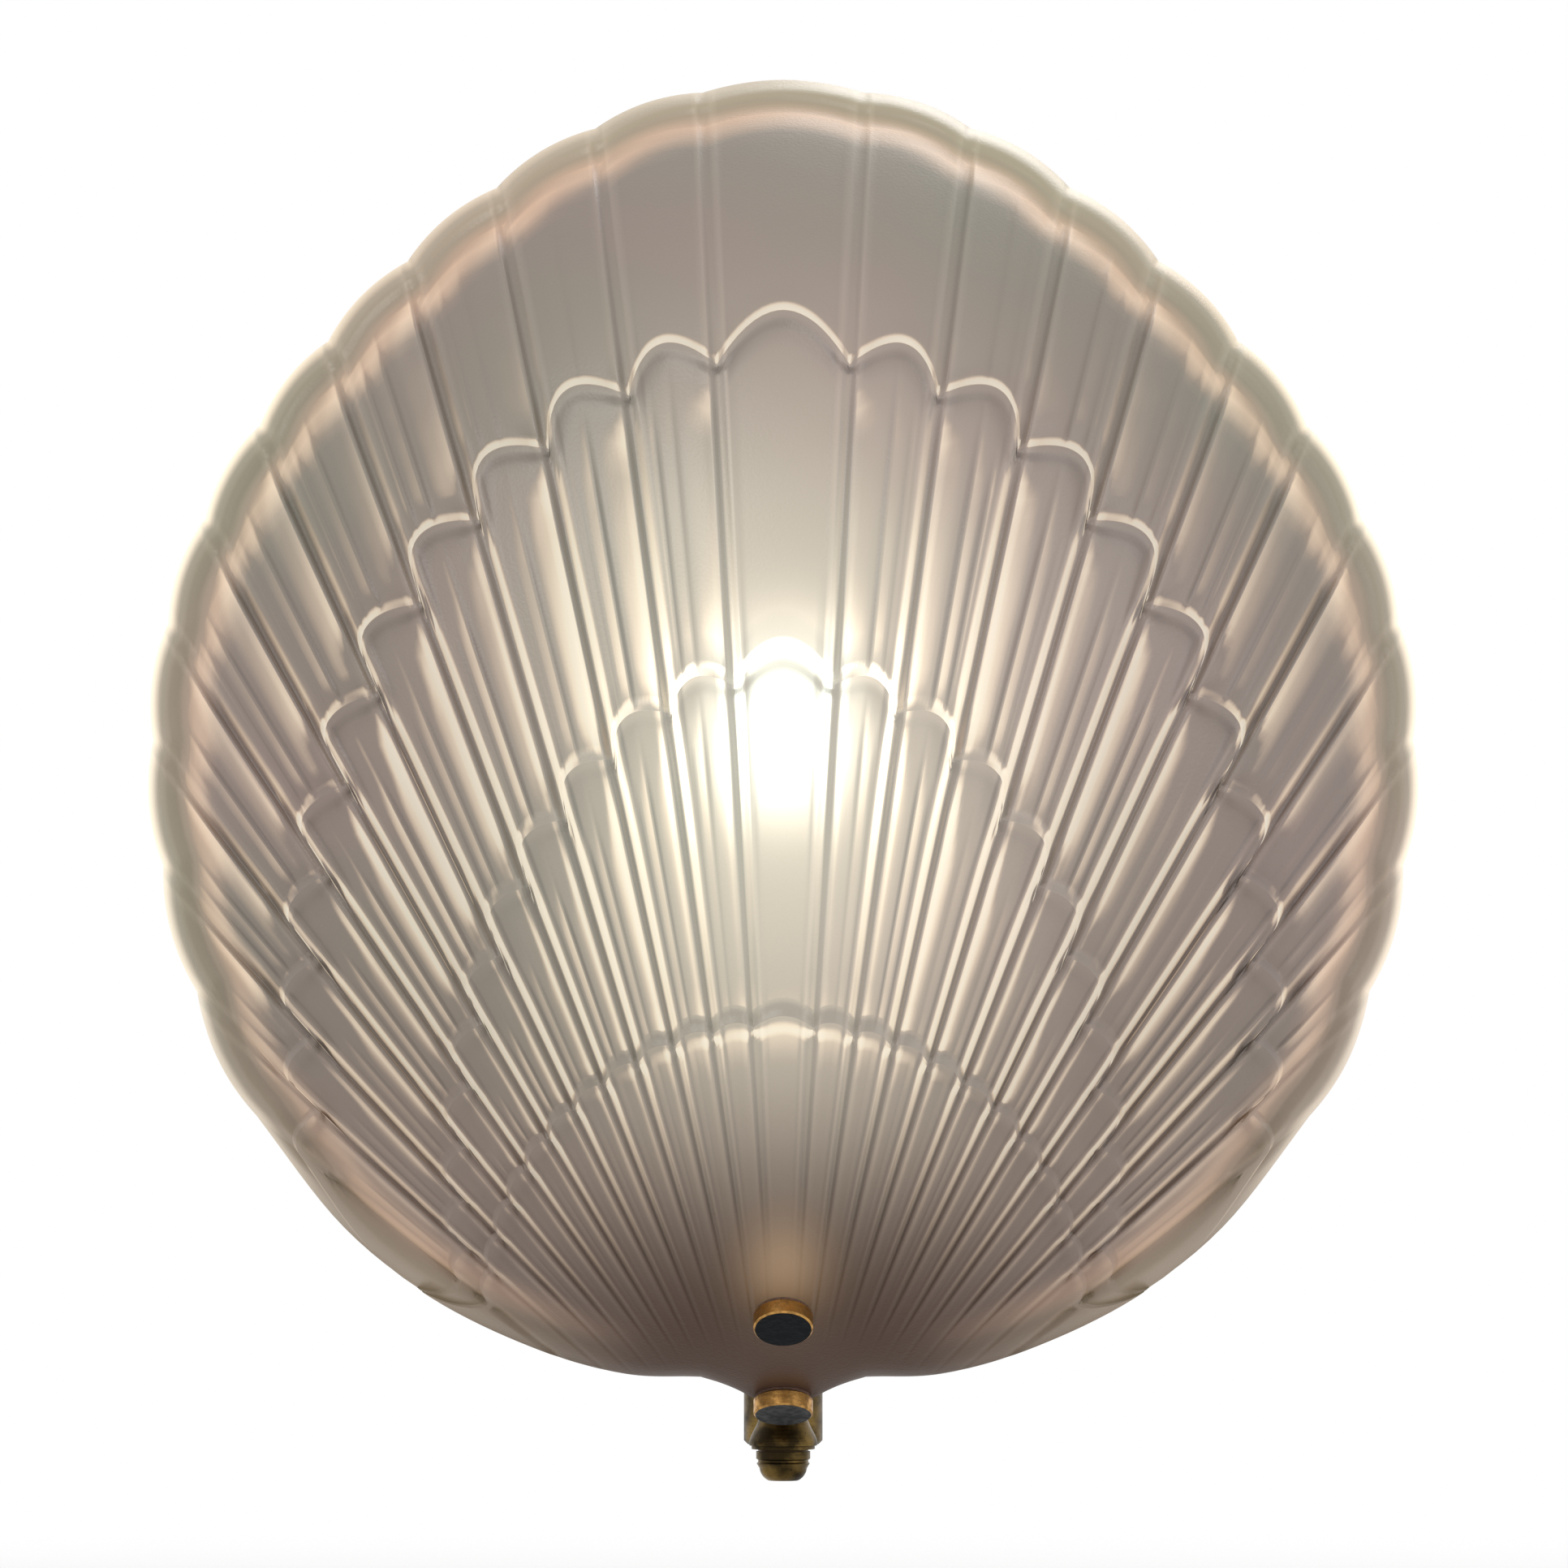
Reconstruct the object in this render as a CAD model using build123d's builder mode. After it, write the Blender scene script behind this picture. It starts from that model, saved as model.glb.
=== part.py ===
from build123d import *
from math import acos, asin, cos, degrees, pi, radians, sin, sqrt
import os

# Shell wall sconce: a pressed-glass scallop on a brass swivel arm.
# X runs to the right, Y into the wall, Z up. The origin is the middle of the canopy, on the wall.

os.makedirs("parts", exist_ok=True)

# ---------------------------------------------------------------- driving dimensions, millimetres

running_gap = 0.05          # radial gap of a turning or push fit

# glass scallop
bowl_radius = 147.0         # outside radius of the outermost tier
tier_step = 1.0             # each tier nearer the tab stands this much prouder
wall = 4.0                  # glass thickness of the outermost tier
rim_inset = 15.3            # mean outline of the shell, inside the bowl's radius
outline_waves = (-4.6, 2.5, 2.7, 1.3, 1.65)   # cosine terms 1 to 5 of the outline about its mean
fan_drop = 166.0            # fan centre below the bowl's centre
fan_margin = 1.6            # outermost line of the fan, inside the mean outline
half_panel = 3.2            # half the angle of the middle panel
side_panels = 11            # panels on each side of the middle one, all of one angle
rim_bulge = 0.08            # rise of a panel's rim, as a share of the panel's width
lip_width = 6.5
lip_height = 1.2
flank_turns = (138, 148, 158, 166)      # points of the plain lower edges, degrees from the top
tab_half_width = 6.8
tab_shoulder = 17.0         # half width where the tab leaves the rim
shoulder_turn = 172         # degrees from the top
shoulder_rise = 1.6         # shoulder over the plain outline
tab_drop = 4.75             # lowest point of the tab below the plain outline
tab_round = 3.2             # height of its rounded end
smooth_umbo = 58.0          # the valleys start this far from the fan centre
ground_edge = 51.0          # flat back edge of tab and lower rim, in front of the bowl's centre

# the three growth lines, tab to rim: half width, height, and centre below the bowl's centre
growth_lines = ((61.0, 62.0, 121.0), (65.3, 108.5, 97.8), (96.0, 141.6, 65.3))
arch_rises = (0.20, 0.36, 0.42)         # rise of their arches, as a share of the panel's width
valley_radii = (2.0, 2.6, 3.4, 4.2)     # round of a valley on each tier, tab to rim
valley_depths = (0.7, 0.8, 0.9, 1.0)

# where the main parts stand
shell_z = 85.0              # bowl centre over the canopy's middle
elbow_y = -44.0             # axis of the arm's barrel
pivot_reach = 16.0          # swivel axis in front of the barrel's
shell_setback = 41.0        # bowl centre behind the swivel axis

# fixings through the glass
nut_margin = 3.05           # middle of the lower nut over the end of the tab
nut_spread = 13.9           # degrees between the two nuts
spot_face = 0.2             # depth of the ground flat under each washer
spot_face_width = 2.0       # flat beyond the edge of a washer
fixing_hole = 7.0
stud_diameter = 4.0
stud_tail = 0.8             # stud beyond its nut
cap_nut_diameter = 12.3
cap_nut_height = 3.5
cap_nut_thread = 2.4        # depth of its blind hole
washer_diameter = 11.4
outer_washer = 0.6
inner_washer = 1.2
stud_nut_flats = 7.0
stud_nut_height = 3.2

# strap
strap_width = 14.0
strap_thickness = 2.5
strap_bend = 2.5
strap_end = 9.0             # strip beyond the upper stud
foot_reach = 7.7            # bend of the foot, in front of the swivel axis

# swivel
spindle_diameter = 7.0
stem_diameter = 10.0
stem_bore = 4.2
top_washer = 0.8
low_washer = 0.5
bell_top_radius = 6.2
bell_neck_radius = 4.9
bell_rim_radius = 7.1
bell_height = 14.7
finial_radius = 5.65
finial_height = 6.1
finial_thread = 3.6
lock_nut_flats = 12.0
lock_nut_height = 3.0

# arm
tube_diameter = 10.0
tube_bore = 7.0
tube_bend = 16.0
tube_inside = 9.0           # length of the arm inside the canopy
barrel_radius = 8.25
barrel_height = 22.7
barrel_wall = 2.5
neck_diameter = 6.5
neck_bore = 3.4
neck_rise = 4.3             # neck over the lower edge of the bell
tube_socket = 8.0
collar_radius = 9.5
collar_length = 5.0
arm_nut_flats = 17.0
arm_nut_height = 3.0

# canopy and wall bracket
canopy_radius = 42.0
canopy_depth = 22.0
canopy_taper = 3.0
canopy_wall = 1.2
bracket_width = 18.0
bracket_thickness = 2.0
bracket_ear = 11.0
ear_gap = 0.6               # between an ear and the canopy's wall
wall_hole_spacing = 60.0
wall_hole = 4.5
side_screw_depth = 6.5      # side screws in front of the wall
side_screw = 3.5
side_screw_head = 7.0
side_screw_head_height = 2.0

# terminal block and earth screw
block_size = (16.0, 11.0, 14.0)
block_x = 16.5
wire_y = -6.0
wire_hole = 3.0
clamp_screw = 3.4
clamp_screw_depth = 4.0
earth_x = -17.0
earth_screw = 4.0
earth_head = 7.6
earth_washer_diameter = 9.0
earth_washer_height = 1.0

# lampholder
holder_z = 0.0
holder_radius = 13.5
holder_wall = 1.0
holder_cap_height = 15.0
holder_cap_wall = 1.2
holder_foot = 8.4           # radius of the flat under the dome
holder_dome = 7.0           # height of the dome
boss_wall = 2.2             # boss round the stem, inside the cap
sleeve_height = 28.0
core_height = 24.0
core_floor = 6.0
socket_radius = 8.3
socket_wall = 0.9
socket_contact_height = 3.0

# candle bulb
bulb_cap_radius = 6.9
bulb_cap_wall = 0.6
bulb_cap_height = 17.0
bulb_tip_height = 2.0
bulb_radius = 17.5
bulb_height = 78.0
bulb_wall = 1.2

# ---------------------------------------------------------------- places that follow from them

pivot_y = elbow_y - pivot_reach
shell_y = pivot_y + shell_setback
edge_y = shell_y - ground_edge
bowl_centre = (0, shell_y, shell_z)
bowl_reach = 2 * bowl_radius
tier_radii = [bowl_radius + tier_step * (3 - tier) for tier in range(4)]
bowl_inside = bowl_radius - wall
rim_mean = bowl_radius - rim_inset
fan_edge = degrees(asin((rim_mean - fan_margin) / fan_drop))
panel_angle = (fan_edge - half_panel) / side_panels
side_fan = [half_panel + panel_angle * step for step in range(side_panels + 1)]
fan_angles = [-angle for angle in reversed(side_fan)] + side_fan


def rim_radius(turn):
    """Plain outline of the shell about the bowl's centre; turn is the angle from the top."""
    return rim_mean + sum(size * cos((wave + 1) * turn) for wave, size in enumerate(outline_waves))


tab_reach = rim_radius(pi) + tab_drop
tab_end = shell_z - tab_reach
low_nut = asin((tab_reach - nut_margin) / tier_radii[0])
nut_angles = (degrees(low_nut) - nut_spread, degrees(low_nut))

glass_face = tier_radii[0] - spot_face
nut_seat = glass_face + outer_washer
strap_face = bowl_inside - inner_washer
strap_back = strap_face - strap_thickness

strap_run = (pivot_y - foot_reach - shell_y + strap_face * cos(low_nut)) / sin(low_nut)
foot_z = shell_z - strap_face * sin(low_nut) - strap_run * cos(low_nut)
bell_top = foot_z - top_washer
bell_bottom = bell_top - bell_height
finial_top = bell_bottom - low_washer
neck_z = bell_bottom + neck_rise
barrel_top = bell_bottom + barrel_height


def bowl_plane(angle, distance):
    """Plane square to the glass, at an angle below the line of sight."""
    out = Vector(0, -cos(radians(angle)), -sin(radians(angle)))
    return Plane(origin=Vector(bowl_centre) + out * distance, x_dir=(1, 0, 0), z_dir=out)


def upright_plane(y):
    """Plane that faces the viewer, for outlines and for profiles turned about a vertical axis."""
    return Plane(origin=(0, y, 0), x_dir=(1, 0, 0), z_dir=(0, -1, 0))


def upright_axis(y):
    return Axis((0, y, 0), (0, 0, 1))


def level_plane(y, z):
    return Plane(origin=(0, y, z))


# ---------------------------------------------------------------- glass scallop

def rim_reach(angle):
    """Distance from the fan centre to the rim along one line of the fan."""
    near = fan_drop * cos(radians(angle))
    far = 2 * fan_drop
    for halving in range(40):
        reach = (near + far) / 2
        x = reach * sin(radians(angle))
        z = reach * cos(radians(angle)) - fan_drop
        distance = sqrt(x * x + z * z)
        if distance < rim_radius(acos(z / distance)):
            near = reach
        else:
            far = reach
    return near


def growth_reach(angle, line):
    """Distance from the fan centre to a growth line, an ellipse about the shell's middle line."""
    half_width, height, drop = line
    across = sin(radians(angle)) / half_width
    along = cos(radians(angle)) / height
    start = (fan_drop - drop) / height
    square = across ** 2 + along ** 2
    return (along * start + sqrt((along * start) ** 2 - square * (start ** 2 - 1))) / square


def fan_point(angle, reach):
    return (reach * sin(radians(angle)), shell_z - fan_drop + reach * cos(radians(angle)))


def rim_point(turn, inset):
    radius = rim_radius(radians(turn)) - inset
    return (radius * sin(radians(turn)), shell_z + radius * cos(radians(turn)))


def scallops(reach, rise):
    """One arc for each panel, from valley to valley."""
    ends = [fan_point(angle, reach(angle)) for angle in fan_angles]
    for start, end in zip(ends, ends[1:]):
        SagittaArc(start, end, rise * (Vector(*end) - Vector(*start)).length)
    return ends[0], ends[-1]


def shell_outline(inset):
    """The rim: a scallop for each panel, plain lower edges, and the tab."""
    flank = [rim_point(turn, inset) for turn in flank_turns]
    shoulder = (tab_shoulder, rim_point(shoulder_turn, inset)[1] + shoulder_rise)
    tab_z = tab_end + tab_round
    with BuildSketch(upright_plane(edge_y)) as outline:
        with BuildLine():
            first, last = scallops(lambda angle: rim_reach(angle) - inset, rim_bulge)
            for side in (1, -1):
                edge = [(side * x, z) for x, z in [last] + flank + [shoulder]]
                Spline(edge)
                Line(edge[-1], (side * tab_half_width, tab_z))
            ThreePointArc((tab_half_width, tab_z), (0, tab_end), (-tab_half_width, tab_z))
        make_face()
    return outline.sketch


def growth_outline(line, rise):
    """The arches of a growth line, closed through the fan centre."""
    with BuildSketch(upright_plane(edge_y)) as outline:
        with BuildLine():
            first, last = scallops(lambda angle: growth_reach(angle, line), rise)
            Polyline(last, (0, shell_z - fan_drop), first)
        make_face()
    return outline.sketch


def growth_tier(number):
    """The part of the bowl inside one growth line, prouder than the next."""
    with BuildPart() as tier:
        extrude(growth_outline(growth_lines[number], arch_rises[number]), amount=bowl_reach)
        with Locations(bowl_centre):
            Sphere(tier_radii[number], mode=Mode.INTERSECT)
    return tier.part


def valley(angle, start, end, tier):
    """Round-bottomed valley between two panels of a tier, from start to end along the fan."""
    along = Vector(sin(radians(angle)), 0, cos(radians(angle)))
    square = Vector(-cos(radians(angle)), 0, sin(radians(angle)))
    offset = fan_drop * sin(radians(angle))
    middle = Vector(bowl_centre) - square * offset
    over = tier_radii[tier] + valley_radii[tier] - valley_depths[tier]
    sweep_radius = sqrt(over ** 2 - offset ** 2)
    foot = fan_drop * cos(radians(angle))
    first = asin((start - foot) / sweep_radius)
    last = asin((end - foot) / sweep_radius)
    spoke = Vector(0, -cos(first), 0) + along * sin(first)
    with BuildPart() as groove:
        with BuildSketch(Plane(origin=middle, x_dir=spoke, z_dir=spoke.cross(square))):
            with Locations((sweep_radius, 0)):
                Circle(valley_radii[tier])
        revolve(axis=Axis(middle, square), revolution_arc=degrees(last - first))
    return groove.part


def valleys():
    """Every valley of every tier, each from its own growth line to the next one."""
    cutters = []
    for angle in fan_angles[1:-1]:
        ends = [smooth_umbo]
        ends += [growth_reach(angle, line) for line in growth_lines]
        ends.append(rim_reach(angle) + valley_radii[3])
        for tier in range(4):
            cutters.append(valley(angle, ends[tier], ends[tier + 1], tier))
    return cutters


with BuildPart() as lip:
    with Locations(bowl_centre):
        Sphere(bowl_radius + lip_height)
    extrude(shell_outline(lip_width), amount=bowl_reach, mode=Mode.SUBTRACT)

tiers = [growth_tier(number) for number in range(3)]
valley_cutters = valleys()

with BuildPart() as glass_shell:
    with Locations(bowl_centre):
        Sphere(bowl_radius)
    add(tiers)
    add(lip.part)
    extrude(shell_outline(0), amount=bowl_reach, mode=Mode.INTERSECT)
    with Locations(bowl_centre):
        Sphere(bowl_inside, mode=Mode.SUBTRACT)
    add(valley_cutters, mode=Mode.SUBTRACT)
    for angle in nut_angles:
        flat = washer_diameter / 2 + spot_face_width / 2
        with BuildSketch(bowl_plane(angle, glass_face)):
            Circle(flat)
        extrude(amount=bowl_radius / 10, mode=Mode.SUBTRACT)
        with BuildSketch(bowl_plane(angle, bowl_inside)):
            Circle(flat)
        extrude(amount=-wall, mode=Mode.SUBTRACT)
        with BuildSketch(bowl_plane(angle, bowl_inside)):
            Circle(fixing_hole / 2)
        extrude(amount=tier_radii[0] - bowl_inside, mode=Mode.SUBTRACT)
glass_shell.part.label = "glass_shell"
export_step(glass_shell.part, "parts/glass_shell.step")

# ---------------------------------------------------------------- fixings through the glass

with BuildPart() as cap_nuts:
    for angle in nut_angles:
        with BuildSketch(bowl_plane(angle, nut_seat)):
            Circle(cap_nut_diameter / 2)
        extrude(amount=cap_nut_height)
    chamfer(cap_nuts.edges().filter_by(GeomType.CIRCLE), length=0.35)
    for angle in nut_angles:
        with BuildSketch(bowl_plane(angle, nut_seat)):
            Circle(stud_diameter / 2)
        extrude(amount=cap_nut_thread, mode=Mode.SUBTRACT)
cap_nuts.part.label = "cap_nuts"
export_step(cap_nuts.part, "parts/cap_nuts.step")

with BuildPart() as outer_washers:
    for angle in nut_angles:
        with BuildSketch(bowl_plane(angle, glass_face)):
            Circle(washer_diameter / 2)
            Circle(stud_diameter / 2 + running_gap, mode=Mode.SUBTRACT)
        extrude(amount=outer_washer)
outer_washers.part.label = "outer_washers"
export_step(outer_washers.part, "parts/outer_washers.step")

with BuildPart() as inner_washers:
    for angle in nut_angles:
        with BuildSketch(bowl_plane(angle, strap_face)):
            Circle(washer_diameter / 2)
            Circle(stud_diameter / 2 + running_gap, mode=Mode.SUBTRACT)
        extrude(amount=inner_washer)
inner_washers.part.label = "inner_washers"
export_step(inner_washers.part, "parts/inner_washers.step")

stud_start = strap_back - stud_nut_height - stud_tail
stud_end = nut_seat + cap_nut_thread
with BuildPart() as fixing_studs:
    for angle in nut_angles:
        with BuildSketch(bowl_plane(angle, stud_start)):
            Circle(stud_diameter / 2)
        extrude(amount=stud_end - stud_start)
fixing_studs.part.label = "fixing_studs"
export_step(fixing_studs.part, "parts/fixing_studs.step")

with BuildPart() as stud_nuts:
    for angle in nut_angles:
        with BuildSketch(bowl_plane(angle, strap_back)):
            RegularPolygon(stud_nut_flats / 2, 6, major_radius=False)
            Circle(stud_diameter / 2, mode=Mode.SUBTRACT)
        extrude(amount=-stud_nut_height)
stud_nuts.part.label = "stud_nuts"
export_step(stud_nuts.part, "parts/stud_nuts.step")

# ---------------------------------------------------------------- strap

def strap_face_line(distance, foot):
    """Corners of one face of the strap: free end, bend between the studs, bend at the foot, foot."""
    high, low = (radians(angle) for angle in nut_angles)
    middle = (high + low) / 2
    bend = distance / cos((low - high) / 2)
    run = (shell_z - distance * sin(low) - foot) / cos(low)
    return [
        (shell_y - distance * cos(high) - strap_end * sin(high),
         shell_z - distance * sin(high) + strap_end * cos(high)),
        (shell_y - bend * cos(middle), shell_z - bend * sin(middle)),
        (shell_y - distance * cos(low) + run * sin(low), foot),
        (pivot_y, foot),
    ]


glass_side = strap_face_line(strap_face, foot_z)
lamp_side = strap_face_line(strap_back, foot_z + strap_thickness)
with BuildPart() as shade_strap:
    with BuildSketch(Plane.YZ):
        with BuildLine():
            FilletPolyline(*glass_side, radius=strap_bend + strap_thickness)
            FilletPolyline(*lamp_side, radius=strap_bend)
            Line(glass_side[0], lamp_side[0])
            Line(glass_side[-1], lamp_side[-1])
        make_face()
    extrude(amount=strap_width / 2, both=True)
    end_corners = shade_strap.edges().filter_by(Axis(bowl_centre, bowl_plane(nut_angles[0], 1).z_dir))
    fillet(end_corners, radius=strap_width / 3)
    with BuildSketch(level_plane(pivot_y, foot_z)):
        Circle(strap_width / 2)
    extrude(amount=strap_thickness)
    with BuildSketch(level_plane(pivot_y, foot_z)):
        Circle(stem_diameter / 2)
    extrude(amount=strap_thickness, mode=Mode.SUBTRACT)
    for angle in nut_angles:
        with BuildSketch(bowl_plane(angle, strap_back)):
            Circle(stud_diameter / 2)
        extrude(amount=strap_thickness, mode=Mode.SUBTRACT)
shade_strap.part.label = "shade_strap"
export_step(shade_strap.part, "parts/shade_strap.step")

# ---------------------------------------------------------------- swivel

def turned(profile, y):
    """A piece turned about the vertical axis at y, from the corners of its half profile."""
    with BuildPart() as piece:
        with BuildSketch(upright_plane(y)):
            with BuildLine():
                Polyline(*profile, close=True)
            make_face()
        revolve(axis=upright_axis(y))
    return piece


def ring(outer, inner, low, high, y):
    return turned([(inner, low), (outer, low), (outer, high), (inner, high)], y)


spindle_radius = spindle_diameter / 2
stem_radius = stem_diameter / 2
bearing_radius = spindle_radius + running_gap
stem_top = holder_z + 5.0
bore_floor = neck_z - neck_bore
with BuildPart() as lamp_stem:
    with BuildSketch(level_plane(pivot_y, finial_top - finial_thread)):
        Circle(spindle_radius)
    extrude(amount=foot_z - finial_top + finial_thread)
    with BuildSketch(level_plane(pivot_y, foot_z)):
        Circle(stem_radius)
    extrude(amount=stem_top - foot_z)
    chamfer(lamp_stem.edges().group_by(Axis.Z)[-1], length=0.6)
    with BuildSketch(level_plane(pivot_y, bore_floor)):
        Circle(stem_bore / 2)
    extrude(amount=stem_top - bore_floor, mode=Mode.SUBTRACT)
    with Locations((0, pivot_y + spindle_radius, neck_z)):
        Box(spindle_diameter, stem_bore, neck_bore, mode=Mode.SUBTRACT)
lamp_stem.part.label = "lamp_stem"
export_step(lamp_stem.part, "parts/lamp_stem.step")

with BuildPart() as strap_lock_nut:
    with BuildSketch(level_plane(pivot_y, foot_z + strap_thickness)):
        RegularPolygon(lock_nut_flats / 2, 6, major_radius=False)
        Circle(stem_radius, mode=Mode.SUBTRACT)
    extrude(amount=lock_nut_height)
strap_lock_nut.part.label = "strap_lock_nut"
export_step(strap_lock_nut.part, "parts/strap_lock_nut.step")

washer_edge = bell_top_radius - 0.3
top_friction_washer = ring(washer_edge, bearing_radius, bell_top, foot_z, pivot_y)
top_friction_washer.part.label = "top_friction_washer"
export_step(top_friction_washer.part, "parts/top_friction_washer.step")
lower_friction_washer = ring(finial_radius - 0.4, bearing_radius, finial_top, bell_bottom, pivot_y)
lower_friction_washer.part.label = "lower_friction_washer"
export_step(lower_friction_washer.part, "parts/lower_friction_washer.step")

neck_radius = neck_diameter / 2
neck_end = pivot_y + bearing_radius + 1.0
with BuildPart() as pivot_body:
    with BuildSketch(upright_plane(pivot_y)):
        with BuildLine():
            collar = (bell_top_radius, bell_top - 3.2)
            throat = (bell_neck_radius, bell_top - 6.2)
            flare = (bell_neck_radius, bell_bottom + 7.2)
            shoulder = (bell_rim_radius, bell_bottom + 1.7)
            Polyline((bearing_radius, bell_top), (bell_top_radius - 0.5, bell_top),
                     (bell_top_radius, bell_top - 0.5), collar)
            TangentArc(collar, throat, tangent=(-1, -0.2))
            Line(throat, flare)
            Spline(flare, shoulder, tangents=((0.15, -1), (0.3, -1)))
            Polyline(shoulder, (bell_rim_radius, bell_bottom + 0.8),
                     (bell_rim_radius - 0.5, bell_bottom + 0.6),
                     (bell_rim_radius - 0.5, bell_bottom), (bearing_radius, bell_bottom),
                     (bearing_radius, bell_top))
        make_face()
    revolve(axis=upright_axis(pivot_y))
    with BuildSketch(Plane(origin=(0, neck_end, neck_z), x_dir=(-1, 0, 0), z_dir=(0, 1, 0))):
        Circle(neck_radius)
    extrude(amount=bell_rim_radius, mode=Mode.SUBTRACT)
    with BuildSketch(Plane(origin=(0, pivot_y, neck_z), x_dir=(-1, 0, 0), z_dir=(0, 1, 0))):
        Circle(neck_bore / 2)
    extrude(amount=bell_rim_radius, mode=Mode.SUBTRACT)
pivot_body.part.label = "pivot_body"
export_step(pivot_body.part, "parts/pivot_body.step")

finial_bottom = finial_top - finial_height
with BuildPart() as swivel_finial:
    with BuildSketch(upright_plane(pivot_y)):
        with BuildLine():
            waist = (finial_radius - 0.7, finial_bottom + 2.6)
            button = (finial_radius - 2.6, finial_bottom)
            Polyline((0, finial_top), (finial_radius, finial_top), (finial_radius, finial_top - 1.5),
                     (finial_radius - 0.4, finial_top - 1.8), (finial_radius - 0.4, finial_top - 2.2),
                     (finial_radius - 0.1, finial_top - 2.5), waist)
            TangentArc(waist, button, tangent=(-0.1, -1))
            Polyline(button, (0, finial_bottom), (0, finial_top))
        make_face()
    revolve(axis=upright_axis(pivot_y))
    with BuildSketch(level_plane(pivot_y, finial_top)):
        Circle(spindle_radius)
    extrude(amount=-finial_thread, mode=Mode.SUBTRACT)
swivel_finial.part.label = "swivel_finial"
export_step(swivel_finial.part, "parts/swivel_finial.step")

# ---------------------------------------------------------------- arm

tube_radius = tube_diameter / 2
barrel_bottom = bell_bottom + 0.3
with BuildPart() as arm_elbow:
    with BuildSketch(level_plane(elbow_y, barrel_bottom)):
        Circle(barrel_radius)
    extrude(amount=barrel_top - barrel_bottom)
    chamfer(arm_elbow.edges().filter_by(GeomType.CIRCLE), length=0.8)
    with BuildSketch(Plane(origin=(0, elbow_y, neck_z), x_dir=(1, 0, 0), z_dir=(0, -1, 0))):
        Circle(neck_radius)
    extrude(amount=elbow_y - neck_end)
    with BuildSketch(level_plane(elbow_y, barrel_top)):
        Circle(tube_radius)
    extrude(amount=-tube_socket, mode=Mode.SUBTRACT)
    with BuildSketch(level_plane(elbow_y, barrel_top)):
        Circle(tube_radius - 1)
    extrude(amount=barrel_bottom + barrel_wall - barrel_top, mode=Mode.SUBTRACT)
    with BuildSketch(Plane(origin=(0, elbow_y, neck_z), x_dir=(1, 0, 0), z_dir=(0, -1, 0))):
        Circle(neck_bore / 2)
    extrude(amount=elbow_y - neck_end, mode=Mode.SUBTRACT)
arm_elbow.part.label = "arm_elbow"
export_step(arm_elbow.part, "parts/arm_elbow.step")

collar_face = -canopy_depth
nut_face = collar_face + canopy_wall
tube_start = nut_face + tube_inside
with BuildPart() as arm_tube:
    with BuildLine(Plane.YZ):
        FilletPolyline((tube_start, 0), (elbow_y, 0), (elbow_y, barrel_top - tube_socket), radius=tube_bend)
    with BuildSketch(upright_plane(tube_start)):
        Circle(tube_radius)
        Circle(tube_bore / 2, mode=Mode.SUBTRACT)
    sweep()
arm_tube.part.label = "arm_tube"
export_step(arm_tube.part, "parts/arm_tube.step")

with BuildPart() as arm_collar:
    with BuildSketch(Plane.XY):
        with BuildLine():
            foot_edge = (collar_radius, collar_face - 1.4)
            top_edge = (tube_radius + 1.2, collar_face - collar_length)
            Polyline((tube_radius, collar_face), (collar_radius, collar_face), foot_edge)
            TangentArc(foot_edge, top_edge, tangent=(-1, -0.1))
            Polyline(top_edge, (tube_radius, collar_face - collar_length), (tube_radius, collar_face))
        make_face()
    revolve(axis=Axis.Y)
arm_collar.part.label = "arm_collar"
export_step(arm_collar.part, "parts/arm_collar.step")

with BuildPart() as arm_lock_nut:
    with BuildSketch(upright_plane(nut_face)):
        RegularPolygon(arm_nut_flats / 2, 6, major_radius=False)
        Circle(tube_radius, mode=Mode.SUBTRACT)
    extrude(amount=-arm_nut_height)
arm_lock_nut.part.label = "arm_lock_nut"
export_step(arm_lock_nut.part, "parts/arm_lock_nut.step")

# ---------------------------------------------------------------- canopy and wall bracket

def canopy_line(inset):
    """One face of the spun cup, from its edge on the wall to the hole for the arm."""
    return FilletPolyline(
        (canopy_radius - inset, 0),
        (canopy_radius - inset, -canopy_depth / 2),
        (canopy_radius - canopy_taper - inset, inset + 1.2 - canopy_depth),
        (collar_radius + 2.5, inset - canopy_depth),
        (tube_radius + 2 * running_gap, inset - canopy_depth),
        radius=4.0 - inset,
    )


ear_face = sqrt((canopy_radius - canopy_wall) ** 2 - (bracket_width / 2) ** 2) - ear_gap
with BuildPart() as canopy:
    with BuildSketch(Plane.XY):
        with BuildLine():
            outside = canopy_line(0)
            inside = canopy_line(canopy_wall)
            Line(outside @ 0, inside @ 0)
            Line(outside @ 1, inside @ 1)
        make_face()
    revolve(axis=Axis.Y)
    with BuildSketch(Plane.YZ):
        with Locations((-side_screw_depth, 0)):
            Circle(side_screw / 2 + running_gap)
    extrude(amount=canopy_radius, both=True, mode=Mode.SUBTRACT)
canopy.part.label = "canopy"
export_step(canopy.part, "parts/canopy.step")

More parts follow.
